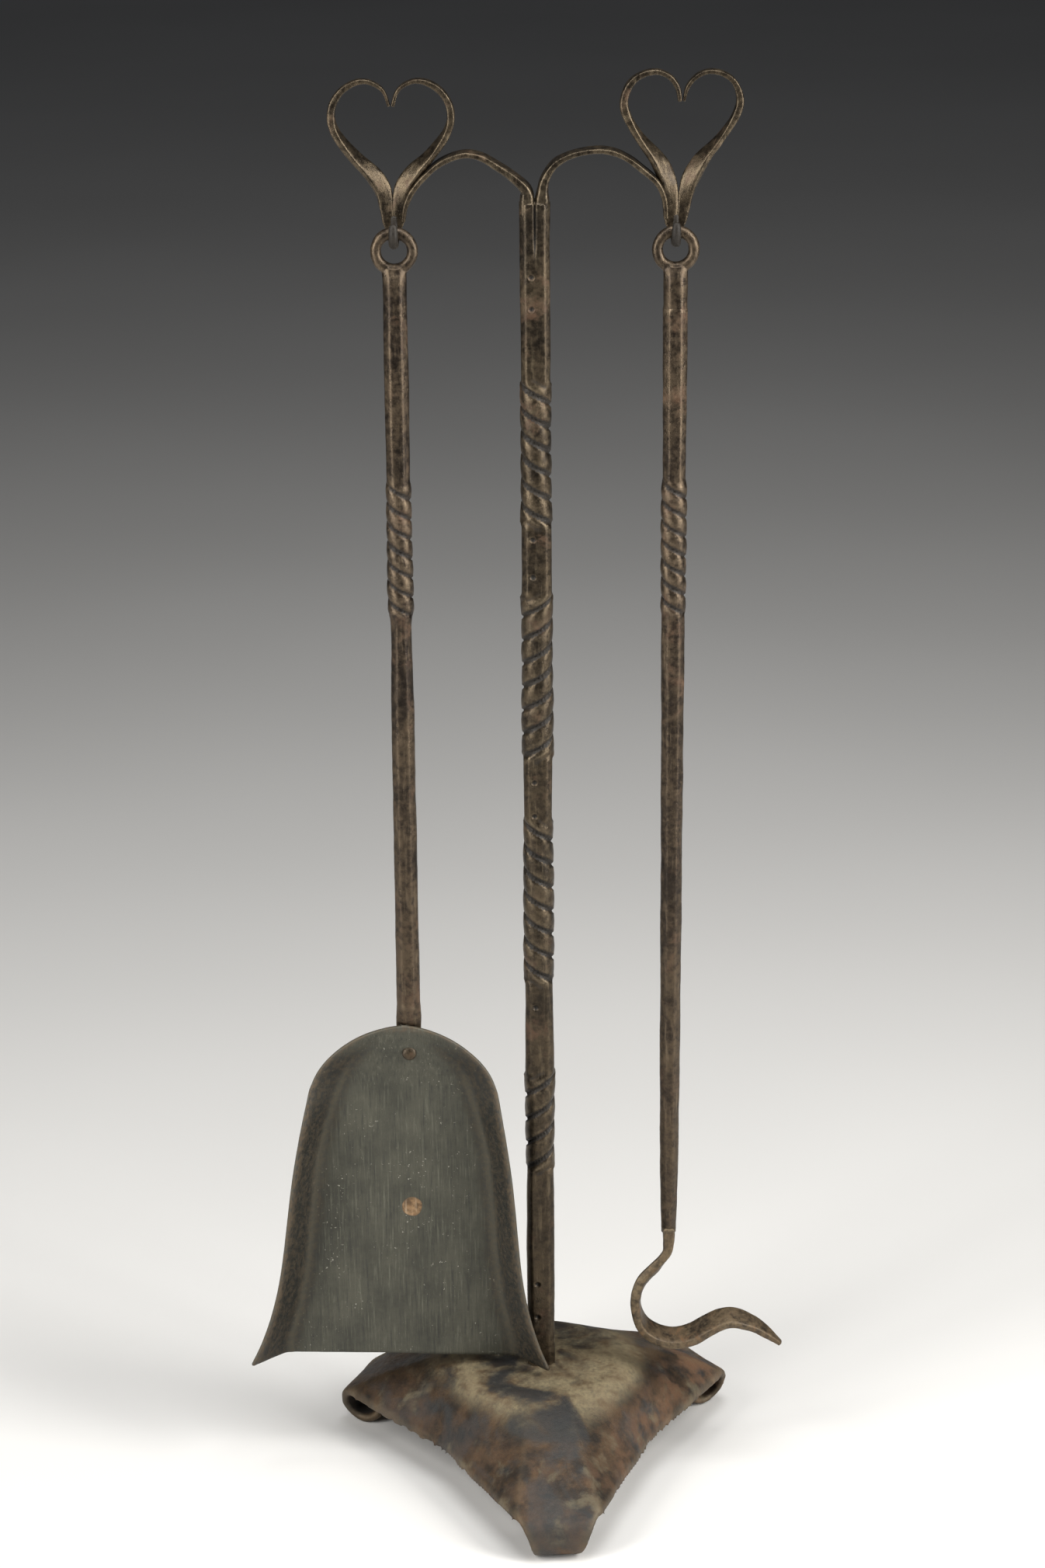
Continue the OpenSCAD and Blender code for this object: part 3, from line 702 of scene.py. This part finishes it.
def arm(side):
    half = POST_W / 4
    base = [[half, SPLIT_Z - 16, 6.2, 14.0, 0, 0], [half, SPLIT_Z - 6, 7.6, 15.6, 0, 0]]
    if side < 0:
        line = [[half + 0.6, SPLIT_Z, 6.0, 15.4, 0, 0], [10.5, SPLIT_Z + 6.3, 4.9, 15, 0, 0],
                [19, SPLIT_Z + 12.4, 4.0, 14.5, 0, 0], [27.6, SPLIT_Z + 17.4, 3.6, 13.5, 0, 0],
                [36.5, SPLIT_Z + 19, 3.4, 13, 0, 0], [47.4, SPLIT_Z + 15.6, 3.3, 12.5, 0, 0],
                [56.4, SPLIT_Z + 8.6, 3.3, 11.5, 0, 0], [63.9, SPLIT_Z, 3.2, 10.5, 0, 0],
                [67.6, SPLIT_Z - 8, 2.9, 9.5, 0, 0], [69, STEM_Z + 2, 2.4, 8.5, 0, 0]]
    else:
        line = [[half + 0.2, SPLIT_Z - 1, 6.2, 15.4, 0, 0], [5.6, SPLIT_Z + 6, 5.0, 15, 0, 0],
                [10, SPLIT_Z + 13, 4.2, 14.5, 0, 0], [16.1, SPLIT_Z + 17, 3.7, 13.5, 0, 0],
                [23.8, SPLIT_Z + 19.6, 3.5, 13, 0, 0], [33.1, SPLIT_Z + 20.6, 3.4, 13, 0, 0],
                [41.2, SPLIT_Z + 19.6, 3.4, 13, 0, 0], [48.8, SPLIT_Z + 16.2, 3.4, 13, 0, 0],
                [56.6, SPLIT_Z + 10.4, 3.3, 13, 0, 0], [64.3, SPLIT_Z + 3.4, 3.2, 12, 0, 0],
                [68, SPLIT_Z - 5, 3.0, 10, 0, 0], [69, STEM_Z + 3, 2.4, 8.5, 0, 0]]
    rings = strip(base + line)
    rings = hammer(rings, 21 + side, [(18, 0.35), (7, 0.14), (2.5, 0.04)])
    if side < 0:
        rings[..., 0] *= -1
        rings = rings[:, ::-1]
    name = "arm_left_bar" if side < 0 else "arm_right_bar"
    piece = tube(name, round_ends(rings))
    return finish_piece(piece, DARK_IRON, "stand", "forged_iron",
                        "arm_left" if side < 0 else "arm_right", reach=4)


for arm_side in (-1, 1):
    arm(arm_side)


# Centre line of each heart's half above its stem's foot: distance from the heart's axis, height,
# thickness, width, the strip's turn in degrees and its offset along Y. A turn near 90 shows the
# strip's wide face, which is at the stem; above it the strip turns until its narrow edge shows.
HEART_LINES = {
    -1: [[1.8, -2.5, 3.6, 3.9, 90, 0], [2.9, 2, 4.2, 6.0, 88, 0], [3.4, 9, 4.4, 7.2, 84, 0],
         [4.6, 17, 4.4, 8.4, 70, 0], [7.2, 22.5, 4.3, 9.2, 58, 0],
         [12.0, 28.6, 4.0, 9.4, 44, 0], [19.0, 35.6, 3.8, 9.0, 28, 0], [25.9, 43.7, 3.9, 8.6, 14, 0],
         [29.9, 50.3, 4.1, 8.2, 5, 0], [31.2, 56.6, 4.3, 8.0, 0, 0], [30, 63.6, 4.1, 7.6, 0, 0],
         [25.7, 70, 3.7, 7.4, 0, 0], [19.5, 74, 3.2, 7.0, 0, 0], [13.2, 75.2, 2.8, 6.6, 0, 0],
         [7.0, 73.0, 2.4, 6.2, 0, 0], [3.2, 69.2, 2.1, 5.8, 0, 0], [1.1, 62.5, 1.8, 5.2, 0, 0]],
    1: [[1.8, -2.5, 3.6, 3.9, 90, 0], [2.9, 2, 4.2, 6.0, 88, 0], [3.4, 10, 4.4, 7.2, 84, 0],
        [4.9, 19.5, 4.4, 8.6, 68, 0], [8.0, 27.5, 4.2, 9.4, 52, 0],
        [12.9, 35.2, 3.9, 9.2, 34, 0], [19.3, 42.6, 3.8, 8.8, 18, 0], [24.6, 49.8, 3.9, 8.4, 7, 0],
        [28.6, 56.8, 4.2, 8.0, 0, 0], [30.2, 63.3, 4.2, 7.8, 0, 0], [28.7, 70, 3.9, 7.6, 0, 0],
        [25.2, 75.0, 3.5, 7.2, 0, 0], [20, 78.0, 3.1, 7.0, 0, 0], [13.9, 79.0, 2.8, 6.6, 0, 0],
        [9.0, 77.6, 2.5, 6.2, 0, 0], [5.3, 74.8, 2.3, 6.0, 0, 0], [2.4, 70.3, 2.1, 5.8, 0, 0],
        [1.1, 64.0, 1.8, 5.2, 0, 0]],
}
# Sideways lean of each heart at its lobes, and its shift above the stem's foot.
HEART_LEAN = {-1: -0.3, 1: 2.6}
HEART_SHIFT = {-1: -0.3, 1: 0.9}
HEART_TALL = 80.0


def heart_half(side, half):
    points = [[x, STEM_Z + z, t, w, turn, dy] for x, z, t, w, turn, dy in HEART_LINES[side]]
    rings = strip(points, step=0.9, count=26)
    rings = hammer(rings, 31 + 2 * side + half, [(16, 0.4), (6, 0.15), (2.2, 0.05)])
    x = rings[..., 0] * half
    height = (rings[..., 2] - STEM_Z) / HEART_TALL
    rings[..., 0] = x + side * REACH + HEART_LEAN[side] * height + HEART_SHIFT[side] * ease(height * 8)
    if half < 0:
        rings = rings[:, ::-1]
    where = "left" if side < 0 else "right"
    which = "outer" if side * half > 0 else "inner"
    piece = tube(f"heart_{where}_{which}_strip", round_ends(rings))
    return finish_piece(piece, DARK_IRON, "stand", "forged_iron", f"heart_{where}_{which}", reach=4)


for heart_side in (-1, 1):
    for heart_part in (-1, 1):
        heart_half(heart_side, heart_part)


# ---- hooks ----

def round_wire(path, radii, count=20):
    """Rings of a round wire along a line in an upright plane that faces sideways."""
    along = np.gradient(path, axis=0)
    along /= np.linalg.norm(along, axis=1, keepdims=True)
    side = np.array([1.0, 0, 0])
    rings = []
    for p, t, r in zip(path, along, radii):
        up = np.cross(t, side)
        a = np.linspace(0, 2 * math.pi, count, endpoint=False)
        rings.append(p + np.outer(np.cos(a), side) * r + np.outer(np.sin(a), -up) * r)
    return np.array(rings)


def hook(side):
    bend = -EYE_Y
    low = STEM_Z - 2
    a = np.radians(np.arange(0, 181, 7))
    arc = np.stack([np.zeros_like(a), -bend + bend * np.cos(a), low - bend * np.sin(a)], 1)
    start = [[0, 0.0, low + h] for h in (6, 4, 2)]
    end = [[0, -2 * bend, low + h] for h in (1.0, 2.0, 3.0, 3.9)]
    path = np.array([*start, *arc, *end])
    radii = np.full(len(path), HOOK_WIRE / 2 - 0.05)
    radii[-4:] = [2.45, 2.35, 2.2, 1.95]
    rings = round_wire(path, radii)
    rings[..., 0] += side * REACH
    rings = hammer(rings, 41 + side, [(7, 0.12), (2.2, 0.05)])
    rings = round_ends(rings, bulge=0.6)
    piece = tube("hook_left_wire" if side < 0 else "hook_right_wire", rings)
    return finish_piece(piece, DARK_IRON, "stand", "forged_iron",
                        "hook_left" if side < 0 else "hook_right", reach=3)


for hook_side in (-1, 1):
    hook(hook_side)


# ---- tool shafts with their eyes ----

TWIST_TOP = EYE_Z - 124
TWIST_LOW = TWIST_TOP - 76
NECK_Z = EYE_Z - 22


def eye_and_neck(x, seed):
    """The ring and the shaft's neck, fused into one skin."""
    ring_r = 9.7
    a = np.linspace(0, 2 * math.pi, 90, endpoint=False)
    b = np.linspace(0, 2 * math.pi, 20, endpoint=False)
    wire = EYE_WIRE / 2 + 0.35 * np.cos(a + math.pi / 2) ** 2
    rings = []
    for angle, r in zip(a, wire):
        mid = np.array([x + ring_r * math.cos(angle), EYE_Y, EYE_Z + ring_r * math.sin(angle)])
        out = np.array([math.cos(angle), 0, math.sin(angle)])
        rings.append(mid + np.outer(np.cos(b), out) * r * 0.98 + np.outer(np.sin(b), [0, 1.0, 0]) * 2.95)
    ring = np.array(rings)
    start = NECK_Z - 16
    neck_levels = np.arange(start, EYE_Z - 7.6, 0.8)
    top = EYE_Z - 7.6
    half = lambda z: SHAFT_D / 2 - 1.3 * float(1 - ease((z - start) / 6))
    flat = lambda z: 1 - 0.42 * float(ease((z - (top - 9)) / 9))
    wide = lambda z: 1 + 0.05 * float(ease((z - (top - 7)) / 7))
    neck = twisted_bar(neck_levels, [], half, 3.4, 0, front_angles(40, 0), wide=wide, deep=flat)
    neck[..., 0] += x
    neck[..., 1] += EYE_Y
    points = [ring.reshape(-1, 3), neck.reshape(-1, 3)]
    m, n = ring.shape[:2]
    i, j = np.meshgrid(np.arange(m), np.arange(n), indexing="ij")
    next_i, next_j = (i + 1) % m, (j + 1) % n
    quads = np.stack([i * n + j, next_i * n + j, next_i * n + next_j, i * n + next_j], -1)
    faces = quads.reshape(-1, 4).tolist() + tube_faces(*neck.shape[:2], offset=m * n)
    piece = build("eye", np.concatenate(points), faces)
    remesh(piece, 0.55, 4)
    co = coords(piece.data) / MM
    normal = vertex_normals(piece.data)
    for k, (size, depth) in enumerate(((9, 0.16), (3, 0.05))):
        co = co + normal * (noise(co, size, seed + k) * depth)[:, None]
    set_coords(piece.data, co * MM)
    return piece


def join(piece, other):
    """Adds another piece's mesh to this one."""
    a, b = piece.data, other.data
    points = np.concatenate([coords(a), coords(b)]) / MM
    count = len(a.vertices)
    faces = [list(p.vertices) for p in a.polygons] + [[count + v for v in p.vertices] for p in b.polygons]
    made = build("joined", points, faces)
    name = piece.name
    for old in (piece, other):
        bpy.data.objects.remove(old)
    made.name = name
    made.data.name = name
    return made


def shaft(name, x, levels, half, wide, deep, shift, seed):
    angles = front_angles(60, 0.15)
    twists = [(TWIST_LOW, TWIST_TOP, 7, -1)]
    # The shaft's top dives into the neck that carries the eye.
    tip = levels[-1]
    thin = lambda z: half(z) - 1.4 * float(ease((z - (tip - 5)) / 5))
    rings = twisted_bar(levels, twists, thin, 3.4, 1.7, angles, wide, deep, lead=4.0)
    rings = hammer(rings, seed, [(38, 0.3), (12, 0.18), (4, 0.06)])
    rings[..., 0] += x
    rings[..., 1] += np.array([EYE_Y + shift(z) for z in levels])[:, None]
    return tube(name, round_ends(rings, bulge=0.3))


PAN_TOP = PAN_HIGH[2]
HEEL_L, HEEL_H = 37.0, 8.5
FLOOR_Y = EYE_Y + 2.0
PAN_T = 2.2
TANG_END = PAN_TOP - HEEL_L - 92


def shovel_bar():
    levels = np.concatenate([np.arange(TANG_END - 3, PAN_TOP + 12, 1.5),
                             np.arange(PAN_TOP + 12, NECK_Z - 4, 1.15)])
    tang_t, tang_w = 4.0, 14.0
    tang_bar = 13.2

    def half(z):
        at = [PAN_TOP + 5, PAN_TOP + 60, TWIST_LOW - 70, TWIST_LOW - 12, TWIST_LOW - 5, TWIST_LOW + 4]
        return float(np.interp(z, at, [tang_bar / 2, 6.35, 6.35, 5.7, 5.6, 6.35]))

    def wide(z):
        return float(np.interp(z, [TANG_END - 3, TANG_END + 8, PAN_TOP - 4, PAN_TOP + 4, PAN_TOP + 12],
                               [0.5, tang_w / tang_bar, tang_w / tang_bar, 1.08, 1.0]))

    def deep(z):
        return float(np.interp(z, [PAN_TOP - 4, PAN_TOP + 3, PAN_TOP + 12], [tang_t / tang_bar, 0.62, 1.0]))

    def shift(z):
        behind = FLOOR_Y + PAN_T + tang_t / 2 + 0.15 - EYE_Y
        heel = PAN_TOP - HEEL_L
        return float(np.interp(z, [heel, PAN_TOP - 3, PAN_TOP + 8], [behind, behind - HEEL_H + 1.0, 0]))

    bar = shaft("shovel_bar", EYE_SHOVEL[0], levels, half, wide, deep, shift, 51)
    piece = join(bar, eye_and_neck(EYE_SHOVEL[0], 61))
    return finish_piece(piece, WARM_IRON, "shovel", "worn_iron", "shovel_shaft", reach=5)


def poker_bar():
    weld = CLAW_TOP
    levels = np.arange(weld - 1, NECK_Z - 4, 1.15)

    def half(z):
        at = [weld, weld + 30, weld + 75, weld + 250, TWIST_LOW - 30, TWIST_LOW, TWIST_TOP]
        return float(np.interp(z, at, [4.3, 4.9, 5.4, 6.0, 6.4, 6.35, 6.35]))

    bar = shaft("poker_bar", EYE_POKER[0], levels, half, None, None, lambda z: 0.0, 71)
    piece = join(bar, eye_and_neck(EYE_POKER[0], 81))
    return finish_piece(piece, WARM_IRON, "poker", "worn_iron", "poker_shaft", reach=5)


shovel_bar()
poker_bar()


# ---- poker claw ----

def claw():
    x = EYE_POKER[0]
    line = [[0, 1.5, 7.4, 9.6, 0], [-0.1, -8, 6.6, 11.5, 0], [-1.2, -15, 5.9, 13.2, 12],
            [-7.6, -24, 5.8, 14.6, 26], [-14.2, -32, 5.7, 15, 24], [-18.2, -41, 5.6, 15, 10],
            [-18.6, -51, 5.6, 15, 4], [-14.6, -61.5, 5.6, 15.2, 10], [-6.5, -68, 5.7, 15.4, 12],
            [4, -70.5, 5.8, 15.4, 13], [14.5, -68.3, 5.8, 15.4, 15], [23, -63, 5.8, 15.2, 17],
            [31, -58.6, 5.6, 14.8, 18], [39, -57.8, 5.3, 13.6, 18], [49.5, -61.5, 4.8, 11.2, 16],
            [58.5, -67.8, 3.8, 7.6, 12], [65.8, -74.2, 2.2, 3.4, 8]]
    points = [[x + dx, CLAW_TOP + dz, t, w, turn, 0] for dx, dz, t, w, turn in line]
    rings = strip(points, step=0.9, y=EYE_Y, count=32, power=5)
    rings = hammer(rings, 91, [(15, 0.45), (6, 0.2), (2.2, 0.07)])
    piece = tube("claw_bar", round_ends(rings))
    return finish_piece(piece, CLAW_IRON, "poker", "worn_iron", "poker_claw", reach=4)


claw()


# ---- shovel pan ----

PAN_L = PAN_HIGH[2] - PAN_LOW[2] - 2.0
PAN_TILT = math.radians(1.5)
PAN_X = EYE_SHOVEL[0] - 2.5
PAN_HALF = 85.3
WALL_H = 18.0
# Share of the pan's length and half width of its rim and of its floor there, as shares of PAN_HALF.
RIM = [[0, 0.05], [0.012, 0.16], [0.03, 0.27], [0.052, 0.36], [0.085, 0.46],
       [0.125, 0.545], [0.17, 0.6], [0.22, 0.63], [0.43, 0.715],
       [0.7, 0.79], [0.83, 0.85], [0.93, 0.925], [1, 1]]
FLOOR = [[0, 0.02], [0.03, 0.12], [0.06, 0.22], [0.125, 0.36],
         [0.19, 0.43], [0.38, 0.555], [0.67, 0.66], [1, 0.765]]


def sheet_solid(name, front, thickness):
    """A closed sheet with round edges from a grid of points on its front."""
    m, n = front.shape[:2]
    du = np.gradient(front, axis=1)
    dv = np.gradient(front, axis=0)
    normal = np.cross(du, dv)
    normal /= np.maximum(np.linalg.norm(normal, axis=2, keepdims=True), 1e-9)
    normal *= np.sign(normal[..., 1:2]) + (normal[..., 1:2] == 0)
    back = front + normal * thickness
    points = [front.reshape(-1, 3), back.reshape(-1, 3)]
    faces = []
    for i in range(m - 1):
        for j in range(n - 1):
            a = i * n + j
            faces.append([a, a + n, a + n + 1, a + 1])
            faces.append([m * n + k for k in (a, a + 1, a + n + 1, a + n)])
    loop = ([(0, j) for j in range(n)] + [(i, n - 1) for i in range(1, m)]
            + [(m - 1, j) for j in range(n - 2, -1, -1)] + [(i, 0) for i in range(m - 2, 0, -1)])
    edge = []
    for i, j in loop:
        step = np.zeros(3)
        if j in (0, n - 1):
            step += front[i, j] - front[i, j + (1 if j == 0 else -1)]
        if i in (0, m - 1):
            step += front[i, j] - front[i + (1 if i == 0 else -1), j]
        step -= normal[i, j] * (step @ normal[i, j])
        step /= max(np.linalg.norm(step), 1e-9)
        edge.append((front[i, j] + back[i, j]) / 2 + step * thickness * 0.32)
    points.append(np.array(edge))
    count = len(loop)
    for k, (i, j) in enumerate(loop):
        i2, j2 = loop[(k + 1) % count]
        f1, f2 = i * n + j, i2 * n + j2
        e1, e2 = 2 * m * n + k, 2 * m * n + (k + 1) % count
        faces.append([f1, f2, e2, e1])
        faces.append([e1, e2, m * n + f2, m * n + f1])
    return build(name, np.concatenate(points), faces)


def pan_sheet():
    rows, columns = 150, 121
    v = np.linspace(0, 1, rows) ** 1.25
    rim_line = curve(RIM, 0.004)
    floor_line = curve(FLOOR, 0.004)
    grid = np.empty((rows, columns, 3))
    side_shade_mask = np.empty((rows, columns))
    crease_highlight_mask = np.empty((rows, columns))
    rim_mark = np.empty((rows, columns))
    for i, share in enumerate(v):
        rim = np.interp(share, rim_line[:, 0], rim_line[:, 1]) * PAN_HALF
        flat = min(np.interp(share, floor_line[:, 0], floor_line[:, 1]) * PAN_HALF, rim * 0.8)
        down = share * PAN_L
        lift = float(np.interp(down, [0, HEEL_L - 4, HEEL_L + 4], [HEEL_H, 0.9, 0.0]))
        wall = lift + (WALL_H - lift) * min(1.0, down / HEEL_L / 1.6)
        s = np.linspace(-1, 1, columns)
        x = s * rim
        t = np.clip((np.abs(x) - flat) / max(rim - flat, 0.5), 0, 1)
        soft = 0.10
        rise = (np.sqrt(t * t + soft * soft) - soft) / (math.sqrt(1 + soft * soft) - soft)
        gap = (np.abs(x) - flat) / 2.2
        bead = 0.75 * np.exp(-gap ** 2) * float(ease((down - 14) / 30))
        w = lift + (wall - lift) * rise + bead + 0.35 * (np.clip(np.abs(x) / max(flat, 1), 0, 1)) ** 2
        grid[i, :, 0] = x
        grid[i, :, 1] = -w
        grid[i, :, 2] = -down
        # Where the side walls get painted shade, fading in from the heel.
        side_shade_mask[i] = ease((np.abs(x) - flat + 9) / 9) * float(ease((down - 4) / 20))
        # Painted highlight along the crease bead.
        crease_highlight_mask[i] = np.exp(-gap ** 2) * float(ease((down - 16) / 25))
        rim_mark[i] = ease((np.abs(x) - rim + 3.2) / 2.6) if down > 3 else 1.0
        if down <= 8:
            rim_mark[i] = np.maximum(rim_mark[i], 1 - ease(down / 5))
    dents = (noise(grid, 34, 101) * 0.55 + noise(grid, 13, 102) * 0.22 + noise(grid, 4.5, 103) * 0.06)
    grid[..., 1] += dents * ease(-grid[..., 2] / 12)
    # A crescent struck into the floor near the front edge.
    cx, cz, radius = 31.0, -(PAN_L - 4.0), 9.5
    away = np.hypot(grid[..., 0] - cx, grid[..., 2] - cz)
    arc = np.exp(-((away - radius) / 0.9) ** 2) * (grid[..., 2] > cz + 1)
    grid[..., 1] += 0.5 * arc
    c, s = math.cos(PAN_TILT), math.sin(PAN_TILT)
    x, z = grid[..., 0] * c + grid[..., 2] * s, grid[..., 2] * c - grid[..., 0] * s
    grid[..., 0], grid[..., 2] = x + PAN_X, z + PAN_TOP
    grid[..., 1] += FLOOR_Y
    piece = sheet_solid("pan_skin", grid, PAN_T - 0.1)
    mesh = piece.data
    count = rows * columns
    total = len(mesh.vertices)
    border = np.ones(total)
    for name, marks in (("side", side_shade_mask), ("crease_highlight", crease_highlight_mask), ("rim", rim_mark)):
        values = np.concatenate([marks.ravel(), marks.ravel(), border[2 * count:] * (name == "rim")])
        layer = mesh.attributes.new(name, "FLOAT", "POINT")
        layer.data.foreach_set("value", values.astype(np.float32))
    return finish_piece(piece, PAN_IRON, "shovel", "pan_iron", "shovel_pan", reach=3)


pan_sheet()


def rivet(name, head_r, head_h, node, material, seed):
    """A hammered rivet: a domed head in front and a set end behind, on the CAD rivet's own axis."""
    low, high = box_mm(node)
    old = coords(frame["nodes"][node].data) / MM
    centre = (low + high) / 2
    axis = np.array([0, -1.0, 0])
    if node == "shovel_heel_rivet":
        lean = math.atan(HEEL_H / HEEL_L)
        axis = np.array([0, -math.cos(lean), math.sin(lean)])
    reach = (old - centre) @ axis
    tip, tail = reach.max(), reach.min()
    u = np.array([1.0, 0, 0])
    w = np.cross(axis, u)
    profile = [(tail, 1.2), (tail, 3.4), (tail + 0.5, 4.2), (tail + 1.5, 4.6), (tail + 1.8, 3.0),
               (tip - head_h - 0.2, 3.0), (tip - head_h, head_r * 0.98), (tip - head_h * 0.75, head_r),
               (tip - head_h * 0.4, head_r * 0.86), (tip - head_h * 0.12, head_r * 0.55), (tip, head_r * 0.2)]
    a = np.linspace(0, 2 * math.pi, 36, endpoint=False)
    round_line = np.outer(np.cos(a), u) + np.outer(np.sin(a), w)
    rings = np.array([centre + axis * d + r * round_line for d, r in profile])
    rings = hammer(rings, seed, [(4, 0.22), (1.6, 0.07)])
    piece = tube(name, rings[:, ::-1])
    sub = piece.modifiers.new("smooth", "SUBSURF")
    sub.levels = sub.render_levels = 1
    mesh = bpy.data.meshes.new_from_object(piece.evaluated_get(bpy.context.evaluated_depsgraph_get()))
    piece.modifiers.clear()
    piece.data = mesh
    return finish_piece(piece, material, "shovel", "worn_iron", node, reach=2)


rivet("heel_rivet_head", 4.1, 2.2, "shovel_heel_rivet", DARK_IRON, 111)
rivet("floor_rivet_head", 6.3, 0.9, "shovel_floor_rivet", SPOT_IRON, 113)


# ---- CAD nodes that stay as they are ----

frame["nodes"]["tenon_washer"].data.materials.clear()
frame["nodes"]["tenon_washer"].data.materials.append(DARK_IRON)


# ---- floor, light and camera ----

def floor():
    n = Nodes("pale_floor")
    soft = n.noise(900, 2, 0.5)
    colour = n.mix(n.span(soft, 0.3, 0.7), (0.74, 0.735, 0.72), (0.78, 0.775, 0.76))
    n.put(colour, n.shader.inputs["Base Color"])
    n.shader.inputs["Roughness"].default_value = 0.75
    n.shader.inputs["Specular IOR Level"].default_value = 0.2
    reach = 30000.0
    points = [[-reach, -reach, 0], [reach, -reach, 0], [reach, reach, 0], [-reach, reach, 0]]
    ground = build("pale_floor", points, [[0, 1, 2, 3]])
    ground.data.materials.append(n.material)


def soft_light(name, azimuth, distance, height, size, power, aim=(0, 0, 0.42), colour=(1, 1, 1)):
    """A large soft lamp; azimuth 0 is in front of the object and 90 on its right."""
    a = math.radians(azimuth)
    lamp = bpy.data.lights.new(name, "AREA")
    lamp.shape = "RECTANGLE"
    lamp.size, lamp.size_y = size
    lamp.energy = power
    lamp.color = colour
    made = bpy.data.objects.new(name, lamp)
    bpy.context.scene.collection.objects.link(made)
    made.location = (distance * math.sin(a), -distance * math.cos(a), height)
    made.rotation_euler = (Vector(made.location) - Vector(aim)).to_track_quat("Z", "Y").to_euler()


# Lens in millimetres, degrees down from level and degrees of roll, and the camera's place in metres.
CAMERA_LENS = 81.45
CAMERA_DOWN = 19.5
CAMERA_ROLL = 0.43
CAMERA_AT = (-0.0086, -1.856, 1.078)


def camera():
    data = bpy.data.cameras.new("camera")
    data.sensor_width = 36
    data.lens = CAMERA_LENS
    made = bpy.data.objects.new("camera", data)
    bpy.context.scene.collection.objects.link(made)
    down, roll = math.radians(CAMERA_DOWN), math.radians(CAMERA_ROLL)
    right = Vector((1, 0, 0))
    up = Vector((0, math.sin(down), math.cos(down)))
    look = Vector((0, math.cos(down), -math.sin(down)))
    side = right * math.cos(roll) - up * math.sin(roll)
    top = up * math.cos(roll) + right * math.sin(roll)
    made.matrix_world = Matrix((side, top, -look)).transposed().to_4x4()
    made.location = CAMERA_AT
    data.clip_end = 200
    bpy.context.scene.camera = made


def world():
    made = bpy.data.worlds.new("studio")
    bpy.context.scene.world = made
    made.use_nodes = True
    made.node_tree.nodes["Background"].inputs[0].default_value = (0.9, 0.93, 1.0, 1)
    made.node_tree.nodes["Background"].inputs[1].default_value = 0.03


floor()
soft_light("left_lamp", -55, 1.35, 0.95, (0.5, 1.5), 24, colour=(1.0, 0.98, 0.95))
soft_light("right_lamp", 62, 1.25, 0.95, (0.5, 1.5), 30, colour=(1.0, 0.98, 0.95))
soft_light("top_lamp", 10, 0.35, 1.9, (0.9, 0.9), 17, aim=(0, -0.1, 0))
camera()
world()
bpy.context.scene.view_settings.view_transform = "Standard"
